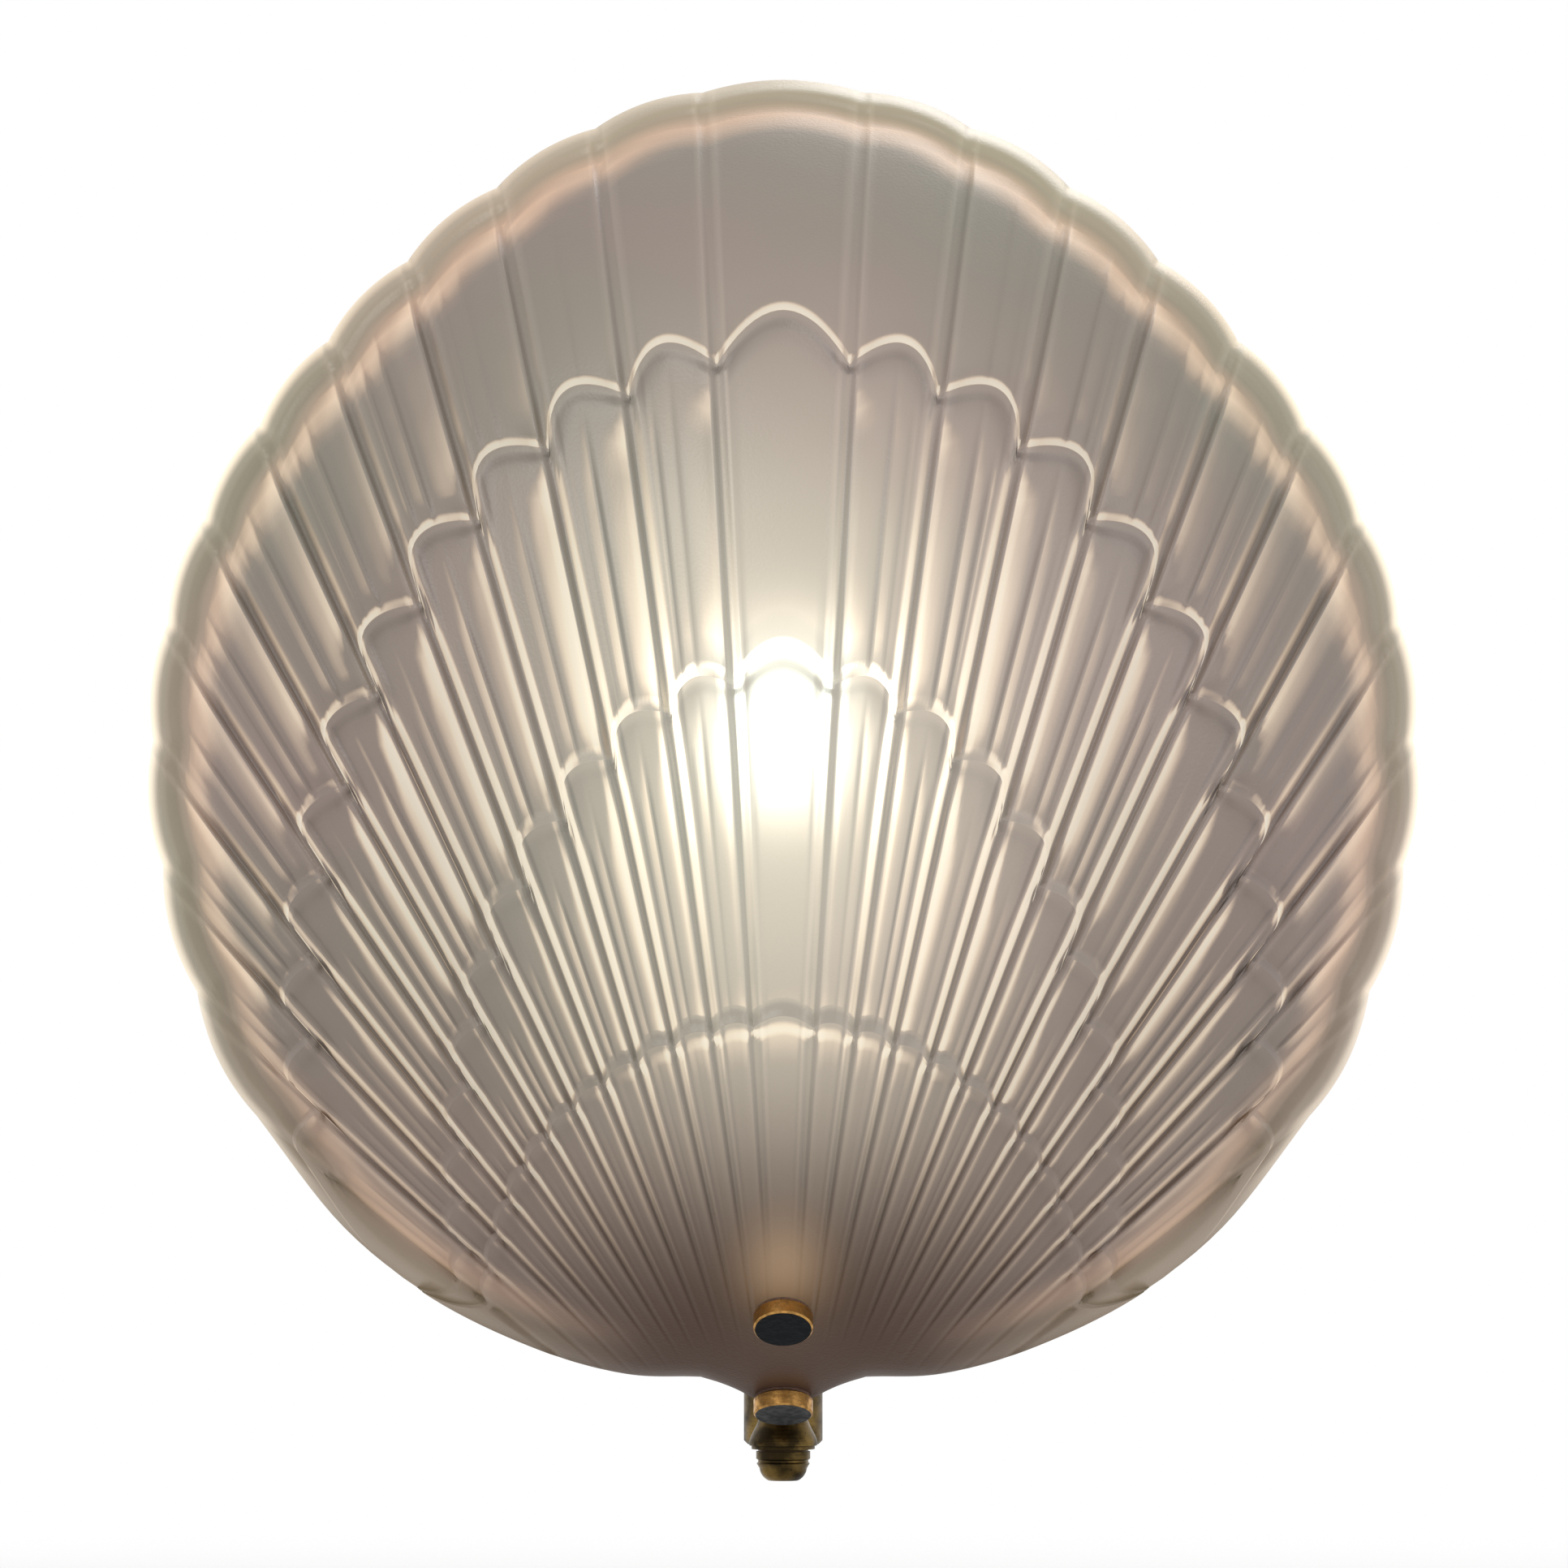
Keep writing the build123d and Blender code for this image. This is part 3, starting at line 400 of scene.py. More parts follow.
beyond = np.sin(np.linspace(0, math.pi / 2, columns_in_flank + 1)[:-1])
flank = fan_angles[-1] + beyond * (outline_angle.max() - fan_angles[-1])
angles = np.array(list(-flank[:0:-1]) + angles + list(flank))
acrosses = np.array([0.0] * left_columns + acrosses + [-1.0] + [0.0] * left_columns)
panels = np.array([0] * left_columns + panels + [2 * side_panels] * columns_in_flank)
panel_width = np.where(panels == side_panels, half_panel, panel_angle / 2)
from_middle = np.abs(panels - side_panels)
in_fan = (np.abs(angles) <= fan_angles[-1] + 1e-9).astype(float)
ends = np.array([outline_ends(angle) for angle in angles])
near, far = ends[:, 0], ends[:, 1]

# the tiers' limits on every column: tab end, the three arched growth lines, rim
capped = np.clip(angles, fan_angles[0], fan_angles[-1])
limits = [near]
arch_lines = []
for line, rise in zip(growth_lines, arch_rises):
    cusps = growth_reach(fan_angles, line)
    arch_line = arches(fan_points(fan_angles, cusps), rise)
    arch_angle = np.maximum.accumulate(np.arctan2(arch_line[:, 0], arch_line[:, 1]))
    arch_reach = np.hypot(arch_line[:, 0], arch_line[:, 1])
    arch_lines.append(fan_points(arch_angle, arch_reach))
    limits.append(np.interp(capped, arch_angle, arch_reach))
limits.append(far)
edge_near, edge_far = outline_ends(fan_angles[-1])
for number in (1, 2, 3):
    share = (limits[number] - edge_near) / (edge_far - edge_near)
    limits[number] = np.where(in_fan > 0, limits[number], near + share * (far - near))


def gap_to(line, row):
    """Distance of a row of the grid from a line, seen from the front."""
    start, run = line[:-1], np.diff(line, axis=0)
    offset = fan_points(angles, row)[:, None] - start
    share = np.clip((offset * run).sum(2) / np.maximum((run * run).sum(1), 1e-12), 0, 1)
    return np.sqrt(((offset - share[..., None] * run) ** 2).sum(2)).min(1)


def growth_gap(number, row):
    """Distance from a growth line; 1 m where there is none, as within the first or beyond the fan."""
    if number not in range(len(arch_lines)):
        return 1.0
    return np.where(in_fan > 0, gap_to(arch_lines[number], row), 1.0)


# how strongly every flute is cut, which differs by chance and fades to the middle, and how much of
# the joints and of the raised ends each tier has, from the lowest tier up
chance = np.random.default_rng(5)
flute_chance = chance.uniform(0.25, 1.30, (3, 4, 2 * side_panels + 1))
flute_chance[0] = chance.uniform(0.50, 1.20, (4, 2 * side_panels + 1))
flute_ramps = ((0.0, 4.0, 0.45), (0.0, 2.0, 0.9), (0.0, 1.0, 1.0), (1.0, 3.0, 1.25))   # start, run, most
flute_shares = [np.clip((from_middle - first) / run, 0.0, 1.0) * most for first, run, most in flute_ramps]
joint_shares = (0.6, 0.9, 0.9, np.clip(0.22 + 0.05 * from_middle, 0.0, 0.55))
lid_shares = (0.8, 0.5, 1.0, 0.0)
lip_end, lip_fade = np.radians(167), np.radians(22)
lip_widening = 0.25             # the rolled rim is a third wider at the sides


def measures(tier, row):
    """What the relief is worked out from, along a row of the front face."""
    x, z = row * np.sin(angles), row * np.cos(angles) - fan_drop
    room = bowl_radius - np.sqrt(x ** 2 + z ** 2 + (ground_edge + rounding_guard) ** 2)
    fade = np.clip((row - umbo_reach[0]) / (umbo_reach[1] - umbo_reach[0]), 0, 1)
    measured = {
        "outside": 1.0,
        "across": acrosses,
        "to_side": (1 + np.where(panels < side_panels, -acrosses, acrosses)) / 2,
        "half_width": row * panel_width,
        "inner_gap": growth_gap(tier - 1, row),
        "outer_gap": growth_gap(tier, row),
        "rim_gap": gap_to(closed_outline, row) * (1 - lip_widening * np.abs(x) / outline_waves[0]),
        "tier_rise": (3 - tier) * tier_step,
        "lid_share": lid_shares[tier],
        "joint_share": joint_shares[tier],
        "fan_share": in_fan * fade,
        "lip_share": np.clip((lip_end - np.arctan2(np.abs(x), z)) / lip_fade, 0.0, 1.0),
        "edge_fall": np.clip(room, 0.0, most_rounding),
    }
    for number in range(len(flutes)):
        measured[f"flute_{number}"] = flute_shares[tier] * flute_chance[number][tier][panels]
    return {name: value * np.ones_like(row) for name, value in measured.items()}


# the rows of every tier, closer together at its two ends, and the plain rows of the inside; lines of
# the fan meet the rim at a slant, so the gaps before it are longer along them
end_gaps = np.array([0.0, 0.00025, 0.0005, 0.0008, 0.0012, 0.0017, 0.0023, 0.0031, 0.0042])
rim_gaps = np.array([0.0, 0.00006, 0.00025, 0.00055, 0.0010, 0.0016, 0.0022, 0.0029, 0.0037, 0.0046, 0.0056])
least_slant = 0.30
rim_slant = np.clip((far - fan_drop * np.cos(angles)) / outline_waves[0], least_slant, 1.0)
most_for_step, most_for_gaps = 0.2, 0.55        # shares of a narrow tier's width
reaches, spots = [], []
for tier, (start, end) in enumerate(zip(limits, limits[1:])):
    width = end - start
    gaps = rim_gaps if tier == 3 else end_gaps
    stretch = np.minimum(1 / rim_slant if tier == 3 else 1.0, most_for_gaps * width / gaps[-1])
    tail = [end - gap * stretch for gap in gaps[::-1]]
    head = start + np.minimum(step_run, most_for_step * width) if tier else start
    shares = np.linspace(0, 1, rows_in_tier[tier] - len(gaps), endpoint=False) ** row_crowding[tier]
    for row in [head + share * (tail[0] - head) for share in shares] + tail:
        reaches.append(row)
        spots.append(measures(tier, row))
outer_rows = len(reaches)
for share in np.linspace(0, 1, inner_rows):
    reaches.append(near + share * (far - near))
    spots.append({name: np.zeros_like(near) for name in spots[0]})


def glass_blank():
    """Closed mesh of the plain bowl, with where each point lies in the fan as attributes."""
    reach = np.array(reaches)
    x = reach * np.sin(angles)
    z = reach * np.cos(angles) - fan_drop
    radius = np.where(np.arange(len(reaches)) < outer_rows, bowl_radius, bowl_radius - glass_wall)[:, None]
    depth = np.sqrt(np.maximum(radius ** 2 - x ** 2 - z ** 2, ground_edge ** 2))
    corners = np.stack([x, shell_centre.y - depth, shell_centre.z + z], 2).reshape(-1, 3)
    count = len(angles)
    # out over the front and back over the inside
    rows = list(range(outer_rows)) + list(range(len(reaches) - 1, outer_rows - 1, -1))
    faces = []
    for row, after in zip(rows, rows[1:] + rows[:1]):
        for column in range(count - 1):
            faces.append((row * count + column, row * count + column + 1,
                          after * count + column + 1, after * count + column))
    mesh = bpy.data.meshes.new("satin_scallop")
    mesh.from_pydata(corners.tolist(), [], faces)
    for name in spots[0]:
        layer = mesh.attributes.new(name, "FLOAT", "POINT")
        layer.data.foreach_set("value", np.array([spot[name] for spot in spots], np.float32).ravel())
    return mesh


def close_sides(mesh):
    """Closes the two narrow ends where the bowl's widest lines meet the outline."""
    shape = bmesh.new()
    shape.from_mesh(mesh)
    bmesh.ops.holes_fill(shape, edges=[edge for edge in shape.edges if edge.is_boundary], sides=0)
    bmesh.ops.recalc_face_normals(shape, faces=shape.faces)
    shape.to_mesh(mesh)
    shape.free()


def maths(tree):
    """Arithmetic in a tree: any operation on one or two values, a sum, a product and a difference."""
    def work(operation, first, second=0.0):
        return add(tree, "ShaderNodeMath", {0: first, 1: second}, operation=operation).outputs[0]

    def plus(first, *others):
        for other in others:
            first = work("ADD", first, other)
        return first

    def times(first, *others):
        for other in others:
            first = work("MULTIPLY", first, other)
        return first

    def less(first, second):
        return work("SUBTRACT", first, second)

    return work, plus, times, less


# sizes of the relief in metres; share and slope are plain numbers, and ripples are to the metre
relief_sizes = {
    "Press Depth": 0.0006, "Valley Half Width": 0.0017, "Valley Share": 0.30, "Valley Depth": 0.0004,
    "Ridge Height": 0.0003, "Ridge Width": 0.0012, "Panel Crown": 0.0002,
    "Flute Slope": 0.50, "Flute Tip": 0.013,
    "Lid Edge": 0.0009, "Lid Least": 0.0014, "Lid Width": 0.0040, "Lid Height": 0.0010,
    "Hollow Edge": 0.0007, "Hollow Depth": 0.0003, "Lip Width": 0.0088, "Lip Height": 0.0016,
    "Edge Round": 0.0022, "Line Start": 0.0003, "Line End": 0.0021,
    "Ripples": 70.0, "Ripple Height": 0.0002,
}


def relief_tree(finish):
    """Geometry Nodes that press the relief into the blank: valleys, ridges, flutes, steps, rim."""
    tree = bpy.data.node_groups.new("scallop_relief", "GeometryNodeTree")
    tree.interface.new_socket(name="Geometry", in_out="INPUT", socket_type="NodeSocketGeometry")
    for name in relief_sizes:
        tree.interface.new_socket(name=name, in_out="INPUT", socket_type="NodeSocketFloat")
    tree.interface.new_socket(name="Geometry", in_out="OUTPUT", socket_type="NodeSocketGeometry")
    size = tree.nodes.new("NodeGroupInput").outputs
    work, plus, times, less = maths(tree)

    def spot(name):
        step = add(tree, "GeometryNodeInputNamedAttribute", {"Name": name}, data_type="FLOAT")
        return step.outputs["Attribute"]

    def climb(value, low, high):
        return ease(tree, value, low, high)

    def fall(value, low, high):
        return less(1.0, ease(tree, value, low, high))

    across, to_side, half_width = spot("across"), spot("to_side"), spot("half_width")
    inner_gap, outer_gap, rim_gap = spot("inner_gap"), spot("outer_gap"), spot("rim_gap")
    fan, outside, lip_share = spot("fan_share"), spot("outside"), spot("lip_share")

    def of_lid(share):
        return times(size["Lid Width"], share)

    def of_lip(share):
        return times(size["Lip Width"], share)

    def lip_fall(start, end):
        """From 1 to 0 between two distances from the edge, in widths of the lip."""
        return fall(rim_gap, of_lip(start), of_lip(end))

    # a rounded valley along each joint and a fine ridge beside it, both weaker at the rim, and a
    # slight crown on the panel
    bow = less(1.0, times(across, across))
    beside = times(less(1.0, work("ABSOLUTE", across)), half_width)
    valley_half = work("MINIMUM", size["Valley Half Width"], times(half_width, size["Valley Share"]))
    valley = times(size["Valley Depth"], -1.0, fall(beside, 0.0, valley_half))
    ridge = times(climb(beside, times(valley_half, 0.5), valley_half),
                  fall(beside, valley_half, plus(valley_half, size["Ridge Width"])), size["Ridge Height"])
    crown = times(bow, size["Panel Crown"])
    away_from_rim = climb(rim_gap, of_lip(1.0), of_lip(1.6))
    joint = times(plus(times(valley, spot("joint_share")), ridge), plus(0.35, times(away_from_rim, 0.65)))

    # flutes: a quick rise to a sharp crest, then a long slope that narrows to a tip at both ends
    tips = times(climb(outer_gap, of_lid(0.8), size["Flute Tip"]), climb(inner_gap, 0.0, of_lid(1.0)),
                 climb(rim_gap, of_lip(0.45), size["Flute Tip"]))
    slope = times(half_width, size["Flute Slope"], tips)
    cuts = []
    for number, (crest, width, steep) in enumerate(flutes):
        foot = plus(crest, times(tips, width))
        drop = add(tree, "ShaderNodeMapRange", {
            "Value": to_side, "From Min": crest, "From Max": foot, "To Min": 1.0, "To Max": 0.0})
        height = times(spot(f"flute_{number}"), steep * width, slope)
        profile = times(climb(to_side, crest - crest_run, crest),
                        work("POWER", drop.outputs["Result"], slope_hollow))
        cuts.append(times(profile, height))
    fluted = plus(*cuts)

    # the raised end of a tier above each growth step, and a hollow under it
    lid = times(spot("lid_share"), size["Lid Height"],
                fall(outer_gap, size["Lid Edge"], plus(times(size["Lid Width"], bow), size["Lid Least"])))
    hollow = times(size["Hollow Depth"], -1.0, fall(inner_gap, size["Hollow Edge"], of_lid(1.5)))
    fanned = plus(crown, fluted, joint, plus(lid, hollow))

    # the rolled rim: a hollow before it, the roll, and its rounded edge
    shoulder = times(size["Lip Height"], -1.0, lip_fall(0.62, 1.25))
    roll = times(size["Lip Height"], 1.15, lip_fall(0.30, 0.66))
    rolled = times(plus(shoulder, roll), lip_share)
    inward = work("MINIMUM", work("DIVIDE", rim_gap, size["Edge Round"]), 1.0)
    rounded = less(1.0, work("SQRT", less(1.0, work("POWER", less(1.0, inward), 2.0))))
    edge = times(spot("edge_fall"), -1.0, rounded)
    ripples = add(tree, "ShaderNodeTexNoise", {"Scale": size["Ripples"], "Detail": 3.0}).outputs[0]
    uneven = times(less(ripples, 0.5), size["Ripple Height"])
    pressing = times(fan, less(fanned, size["Press Depth"]))
    height = plus(spot("tier_rise"), pressing, plus(edge, uneven, rolled))

    # the height stands on the ball; points move only forward or back, so the outline stays
    position = tree.nodes.new("GeometryNodeInputPosition").outputs[0]
    place = add(tree, "ShaderNodeSeparateXYZ", {"Vector": position})
    x, z = place.outputs["X"], place.outputs["Z"]
    up = less(z, shell_centre.z)
    ball = plus(height, bowl_radius)
    depth = work("SQRT", less(times(ball, ball), plus(times(x, x), times(up, up))))
    front = work("MINIMUM", less(shell_centre.y, depth), shell_centre.y - ground_edge - front_guard)
    pressed = add(tree, "ShaderNodeCombineXYZ", {"X": x, "Y": front, "Z": z})

    # masks for the light that the satin glass paints on the ridges and along the rolled rim
    lip_spots = times(outside, lip_share)
    notes = {
        "ridge_light": times(fan, work("DIVIDE", ridge, size["Ridge Height"])),
        "rim_band_light": times(climb(rim_gap, of_lip(0.5), of_lip(0.87)), lip_fall(0.87, 1.45), lip_spots),
        "rim_edge_light": times(lip_fall(0.35, 1.0), lip_spots),
        "rim_line_light": times(fall(rim_gap, size["Line Start"], size["Line End"]), lip_spots),
    }
    shell = size["Geometry"]
    for name, value in notes.items():
        shell = add(tree, "GeometryNodeStoreNamedAttribute", {
            "Geometry": shell, "Name": name, "Value": value}, data_type="FLOAT").outputs[0]
    moved = add(tree, "GeometryNodeSetPosition", {
        "Geometry": shell, "Selection": work("GREATER_THAN", outside, 0.5), "Position": pressed.outputs[0]})
    smooth = add(tree, "GeometryNodeSetShadeSmooth", {"Geometry": moved.outputs[0]})
    real = add(tree, "GeometryNodeRealizeInstances", {"Geometry": smooth.outputs[0]})
    coated = add(tree, "GeometryNodeSetMaterial", {"Geometry": real.outputs[0], "Material": finish})
    add(tree, "NodeGroupOutput", {"Geometry": coated.outputs[0]})
    return tree


def vector(tree, operation, first, second=(0, 0, 0)):
    """An operation on one or two directions or places; lengths and dot products are plain values."""
    step = add(tree, "ShaderNodeVectorMath", {0: first, 1: second}, operation=operation)
    return step.outputs["Value" if operation in ("LENGTH", "DOT_PRODUCT") else "Vector"]


# the bulb's light, painted into the glass as three halos: a middle, how far a full slope bends it, its reach
# across and up where it is down to a third, and its strength; the last is the bulb's neck and the bright
# lampholder
glow_centre = Vector((0.0, 0.0, 0.087))
stem_centre = Vector((0.0, 0.0, 0.040))
core_halo = (glow_centre, 0.055, 0.0115, 0.0145, 2.4)
wide_halo = (glow_centre, 0.06, 0.045, 0.064, 0.39)
stem_halo = (stem_centre, 0.03, 0.036, 0.080, 0.15)
nut_patch = Vector((0.0, 0.0, -0.024))      # the upper cap nut throws a warm patch on the glass above it
nut_patch_reach = (0.0085, 0.010)
fixings = Vector((0.0, 0.0, -0.060))        # the light fades out toward the fixings
fixings_fade = (0.026, 0.086)
steepest_bend = 0.42

# red is bent a little more than blue, which leaves the pink and blue fringes beside the ribs; after
# the bend come a colour's shares in the bulb's light, the rim's band, edge and line, and the warm patch
colour_lights = {
    "Red": (1.12, 1.0, 0.26, 0.18, 0.46, 0.22),
    "Green": (1.0, 0.93, 0.13, 0.15, 0.42, 0.145),
    "Blue": (0.92, 0.74, 0.06, 0.085, 0.34, 0.08),
}


def satin_glass():
    """Satin glass with the bulb's light painted into it as emission: a slope turned away from the bulb bends
    its light out.
    """
    finish, tree, shader = new_finish("satin_glass")
    work, plus, times, less = maths(tree)
    coordinates = add(tree, "ShaderNodeTexCoord", {})
    here, normal = coordinates.outputs["Object"], coordinates.outputs["Normal"]

    def scaled(direction, share):
        step = add(tree, "ShaderNodeVectorMath", {0: direction, 3: share}, operation="SCALE")
        return step.outputs["Vector"]

    def note(name):
        return add(tree, "ShaderNodeAttribute", {}, attribute_name=name).outputs["Fac"]

    # the slope is how far a face leans away from the plain ball, whichever side is seen
    outward = vector(tree, "NORMALIZE", vector(tree, "SUBTRACT", here, shell_centre))
    side = work("SIGN", vector(tree, "DOT_PRODUCT", normal, outward))
    tilt = vector(tree, "SUBTRACT", scaled(normal, side), outward)
    slope = work("MAXIMUM", vector(tree, "LENGTH", tilt), 0.001)
    tilt = scaled(tilt, work("DIVIDE", work("MINIMUM", slope, steepest_bend), slope))

    def front_offset(middle):
        """From a middle to here, seen from the front."""
        return vector(tree, "MULTIPLY", vector(tree, "SUBTRACT", here, middle), (1.0, 0.0, 1.0))

    def glare(offset, reach_across, reach_up):
        """Light that fades away from its middle."""
        part = vector(tree, "MULTIPLY", offset, (1 / reach_across, 0.0, 1 / reach_up))
        return work("EXPONENT", times(vector(tree, "DOT_PRODUCT", part, part), -1.0))

    def halo(colour_bend, middle, bend, reach_across, reach_up, strength):
        """The bulb's light seen through the slope."""
        bent = vector(tree, "SUBTRACT", here, scaled(tilt, bend * colour_bend))
        return times(glare(vector(tree, "SUBTRACT", bent, middle), reach_across, reach_up), strength)

    # shares from 0 to 1 of how far a point lies from the fixings, out to the sides and up
    from_glow = front_offset(glow_centre)
    turned = vector(tree, "DOT_PRODUCT", tilt, vector(tree, "NORMALIZE", from_glow))
    off_middle = work("ABSOLUTE", add(tree, "ShaderNodeSeparateXYZ", {"Vector": from_glow}).outputs["X"])
    height = add(tree, "ShaderNodeSeparateXYZ", {"Vector": here}).outputs["Z"]
    far = ease(tree, vector(tree, "LENGTH", front_offset(fixings)), *fixings_fade)
    outer = ease(tree, off_middle, 0.055, 0.115)
    sideways = ease(tree, off_middle, 0.040, 0.115)
    upper = plus(0.60, times(ease(tree, height, -0.020, 0.080), 0.40))

    rim_band_light = times(note("rim_band_light"), plus(1.0, times(sideways, -0.50)))
    rim_edge_light = times(note("rim_edge_light"), plus(1.0, times(sideways, -0.40)))
    rim_line_light = times(note("rim_line_light"), ease(tree, off_middle, 0.080, 0.125))
    patch = glare(vector(tree, "SUBTRACT", here, nut_patch), *nut_patch_reach)
    prism = times(plus(0.36, times(outer, 0.18)), far)

    # the painted light of each colour: halos, the facets that face away from the bulb, the rim and the patch
    tones = {}
    for colour, (bend, bulb, band, edge, line, warm) in colour_lights.items():
        facets = times(ease(tree, times(turned, bend), 0.015, 0.19), prism)
        stem = times(halo(bend, *stem_halo), far)
        light = plus(halo(bend, *wide_halo), facets, halo(bend, *core_halo), stem)
        rim = times(plus(times(rim_band_light, band), times(rim_edge_light, edge), times(rim_line_light, line)), upper)
        tones[colour] = plus(times(light, bulb), plus(rim, times(patch, warm)))
    brightest = work("MAXIMUM", work("MAXIMUM", tones["Red"], tones["Green"]),
                     work("MAXIMUM", tones["Blue"], 0.001))
    tone = add(tree, "ShaderNodeCombineColor", {
        colour: work("DIVIDE", value, brightest) for colour, value in tones.items()})

    # the glass's base colour: warmer below; dark brown near the fixings, a painted shade where the bulb's
    # light is kept off; painted light on the ridges, and painted shade where a slope leans toward the bulb
    tint = mottle(tree, 9.0, 2.0, 0.35, 0.65)
    lower = less(1.0, ease(tree, height, -0.020, 0.060))
    cast = between(tree, tint, (0.242, 0.224, 0.180, 1), (0.280, 0.215, 0.188, 1))
    cast = between(tree, lower, cast, (0.255, 0.192, 0.160, 1))
    base = between(tree, far, (0.075, 0.038, 0.024, 1), cast)
    darkening = plus(times(outer, -0.10), -0.18, times(rim_edge_light, 0.12))
    shade = times(darkening, ease(tree, times(turned, -1.0), 0.03, 0.30))
    # painted light on the ridges and painted shade on slopes that lean toward the bulb
    lines = plus(1.0, times(plus(times(note("ridge_light"), 0.22), shade), plus(0.45, times(far, 0.55))))
    lit = add(tree, "ShaderNodeMix", {"Factor": 1.0, 6: base, 7: lines},
              data_type="RGBA", blend_type="MULTIPLY")
    set_sockets(tree, shader, {
        "Base Color": lit.outputs[2], "Roughness": 0.42, "IOR": 1.5,
        "Specular IOR Level": plus(0.18, times(far, 0.32)),
        "Emission Color": tone.outputs[0], "Emission Strength": brightest})
    roughen(tree, shader, mottle(tree, 1500.0, 3.0, 0.3, 0.7), 0.00003)
    return finish


def press_glass():
    """The blank pressed by the relief, as a plain mesh."""
    blank = bpy.data.objects.new("satin_scallop_blank", glass_blank())
    bpy.context.scene.collection.objects.link(blank)
    tree = relief_tree(satin_glass())
    press = blank.modifiers.new("press", "NODES")
    press.node_group = tree
    for socket in tree.interface.items_tree:
        if socket.in_out == "INPUT" and socket.name in relief_sizes:
            press[socket.identifier] = relief_sizes[socket.name]
    shown = blank.evaluated_get(bpy.context.evaluated_depsgraph_get())
    mesh = bpy.data.meshes.new_from_object(shown)
    bpy.data.objects.remove(blank)
    close_sides(mesh)
    glass = bpy.data.objects.new("satin_scallop", mesh)
    bpy.context.scene.collection.objects.link(glass)
    return glass


glass = press_glass()
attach(glass, "shade_head")
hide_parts("glass_shell")


# ------------------------------------------------------------------ glass fixings
# Flat turned cap nuts clamp the glass between a fibre washer and a soft one. Their flat ends are painted
# near black, a painted dark reflection.
# The nuts' sides are rubbed bright, and stand square to the bowl.

def cap_nut_brass():
    """Brass whose flat end, square to the nut's own axis, is painted near black as a dark reflection."""
    finish, tree, shader = new_finish("cap_nut_brass")
    normal = add(tree, "ShaderNodeTexCoord", {}).outputs["Normal"]
    axis = vector(tree, "NORMALIZE", vector(tree, "SUBTRACT", own_place(tree), shell_centre))
    # the flat end's near-black colour is a painted dark reflection
    end = ease(tree, vector(tree, "DOT_PRODUCT", normal, axis), 0.90, 0.97)
    wear = mottle(tree, 700.0, 5.0, 0.40, 0.62)
    side = between(tree, wear, (0.62, 0.34, 0.10, 1), (0.30, 0.16, 0.05, 1))
    set_sockets(tree, shader, {
        "Base Color": between(tree, end, side, (0.006, 0.008, 0.010, 1)),
        "Roughness": within(tree, wear, 0.30, 0.48), "Metallic": 1.0})
    roughen(tree, shader, wear, 0.00002)
    return finish


def washer_stock(name, light, dark):
    finish, tree, shader = new_finish(name)
    grain = mottle(tree, 1200.0, 4.0, 0.35, 0.65)
    set_sockets(tree, shader, {"Base Color": between(tree, grain, light, dark), "Roughness": 0.75})
    roughen(tree, shader, mottle(tree, 2400.0, 2.0, 0.3, 0.7), 0.00004)
    return finish


coat(cap_nut_brass(), "cap_nuts")
coat(washer_stock("fibre", (0.16, 0.09, 0.06, 1), (0.09, 0.05, 0.035, 1)), "outer_washers")
coat(washer_stock("soft_rubber", (0.035, 0.035, 0.035, 1), (0.018, 0.018, 0.018, 1)), "inner_washers")


# ------------------------------------------------------------------ camera, floor and light
# The view is level and straight on, from far enough that the bowl hardly swells. Everything is
# white around the lamp, and the light on it is soft and even.

photo_side = 1932
photo_scale = 0.000168          # metres to a photo pixel at the rim
photo_middle = (965, 905)       # the bowl's centre in the photograph
view_distance = 3.0
rim_y = -0.084
film_width = 36.0

camera = bpy.data.objects.new("camera", bpy.data.cameras.new("camera"))
bpy.context.scene.collection.objects.link(camera)
camera.location = ((photo_side / 2 - photo_middle[0]) * photo_scale, rim_y - view_distance,
                   shell_centre.z + (photo_middle[1] - photo_side / 2) * photo_scale)
camera.rotation_euler = (math.pi / 2, 0, 0)
camera.data.sensor_width = film_width
camera.data.lens = film_width * view_distance / (photo_side * photo_scale)
camera.data.clip_end = 50.0
bpy.context.scene.camera = camera

floor_z = -0.14
floor_radius = 1.15
floor_fade = (0.5, 1.1)         # the floor clears away between these distances from the origin


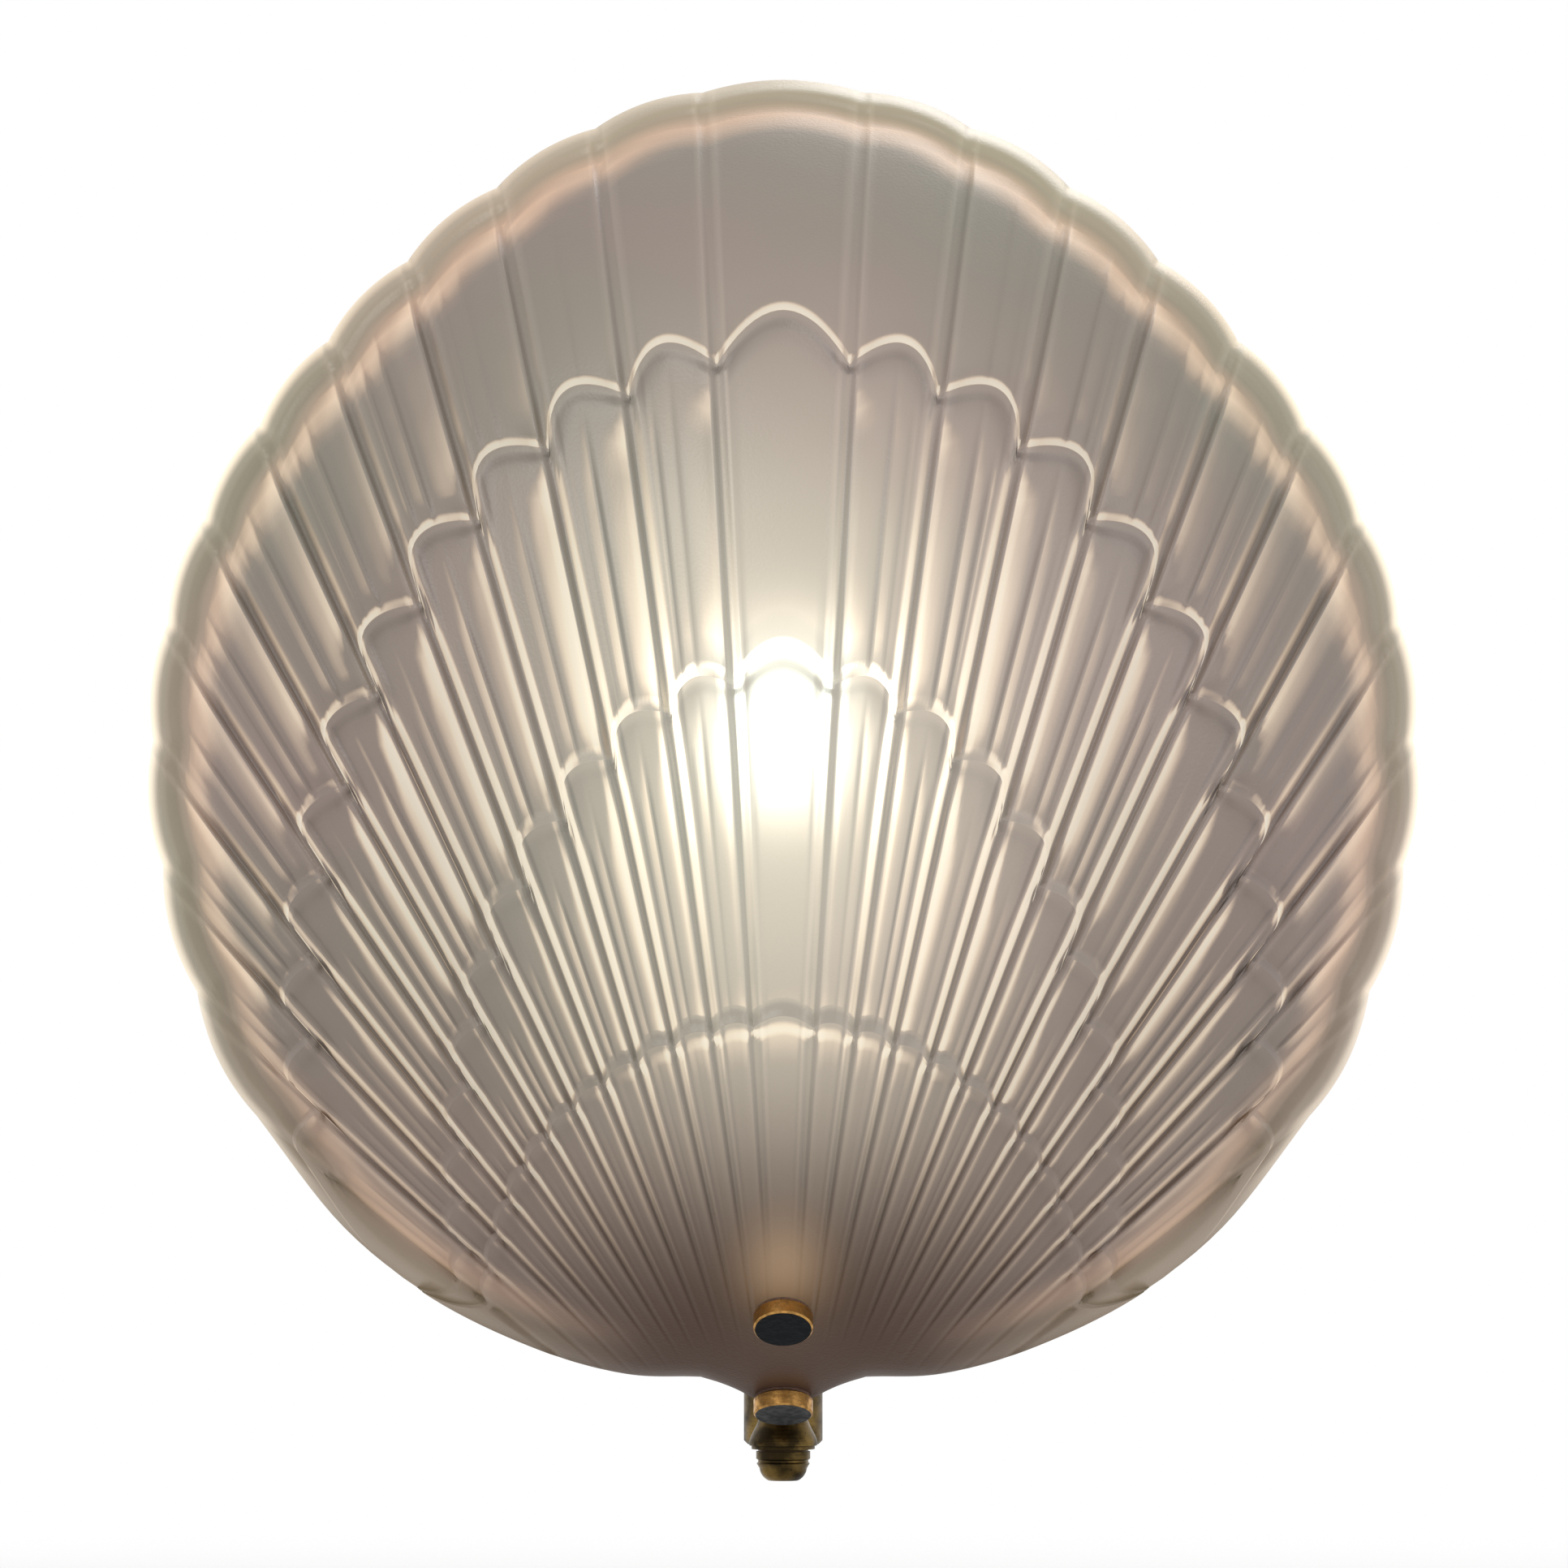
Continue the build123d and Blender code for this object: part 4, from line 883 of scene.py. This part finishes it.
def pale_floor():
    """A pale round floor under the light, which runs out into the white around it."""
    finish, tree, shader = new_finish("pale_floor")
    grain = mottle(tree, 40.0, 3.0, 0.3, 0.7)
    set_sockets(tree, shader, {
        "Base Color": between(tree, grain, (0.84, 0.84, 0.83, 1), (0.86, 0.86, 0.85, 1)), "Roughness": 0.9})
    run_out = ease(tree, vector(tree, "LENGTH", own_place(tree)), *floor_fade)
    clear = add(tree, "ShaderNodeBsdfTransparent", {})
    mixed = add(tree, "ShaderNodeMixShader", {0: run_out, 1: shader.outputs[0], 2: clear.outputs[0]})
    set_sockets(tree, tree.nodes["Material Output"], {"Surface": mixed.outputs[0]})
    mesh = bpy.data.meshes.new("floor")
    shape = bmesh.new()
    bmesh.ops.create_circle(shape, cap_ends=True, segments=96, radius=floor_radius)
    bmesh.ops.translate(shape, verts=shape.verts, vec=(0, 0, floor_z))
    shape.to_mesh(mesh)
    shape.free()
    floor = bpy.data.objects.new("floor", mesh)
    floor.data.materials.append(finish)
    bpy.context.scene.collection.objects.link(floor)
    return floor


def soft_light(name, place, aim, side, power, colour):
    """A large square soft light."""
    lamp = bpy.data.lights.new(name, "AREA")
    lamp.shape = "SQUARE"
    lamp.size = side
    lamp.energy = power
    lamp.color = colour
    light = bpy.data.objects.new(name, lamp)
    light.location = place
    light.rotation_euler = (Vector(aim) - Vector(place)).to_track_quat("-Z", "Y").to_euler()
    bpy.context.scene.collection.objects.link(light)


def studio_world():
    """White behind everything, and an even grey light on it."""
    world = bpy.data.worlds.new("studio")
    world.use_nodes = True
    bpy.context.scene.world = world
    tree = world.node_tree
    work = maths(tree)[0]
    ray = add(tree, "ShaderNodeLightPath", {}).outputs
    mirrored = work("MAXIMUM", ray["Is Camera Ray"], ray["Is Glossy Ray"])
    shown = work("MAXIMUM", mirrored, ray["Is Transmission Ray"])
    set_sockets(tree, tree.nodes["Background"], {
        "Color": (1, 1, 1, 1), "Strength": within(tree, shown, 0.55, 1.0)})


pale_floor()
studio_world()
soft_light("key", (-0.9, -1.6, 1.3), aim=(0, -0.08, 0.08), side=0.8, power=14.0, colour=(1.0, 0.98, 0.95))
soft_light("fill", (1.4, -1.0, 0.5), aim=(0, -0.08, 0.08), side=1.0, power=6.0, colour=(0.95, 0.97, 1.0))
soft_light("back", (0.4, 1.2, 1.2), aim=(0, -0.05, 0.08), side=0.8, power=8.0, colour=(1.0, 1.0, 1.0))
bpy.context.scene.view_settings.view_transform = "Standard"
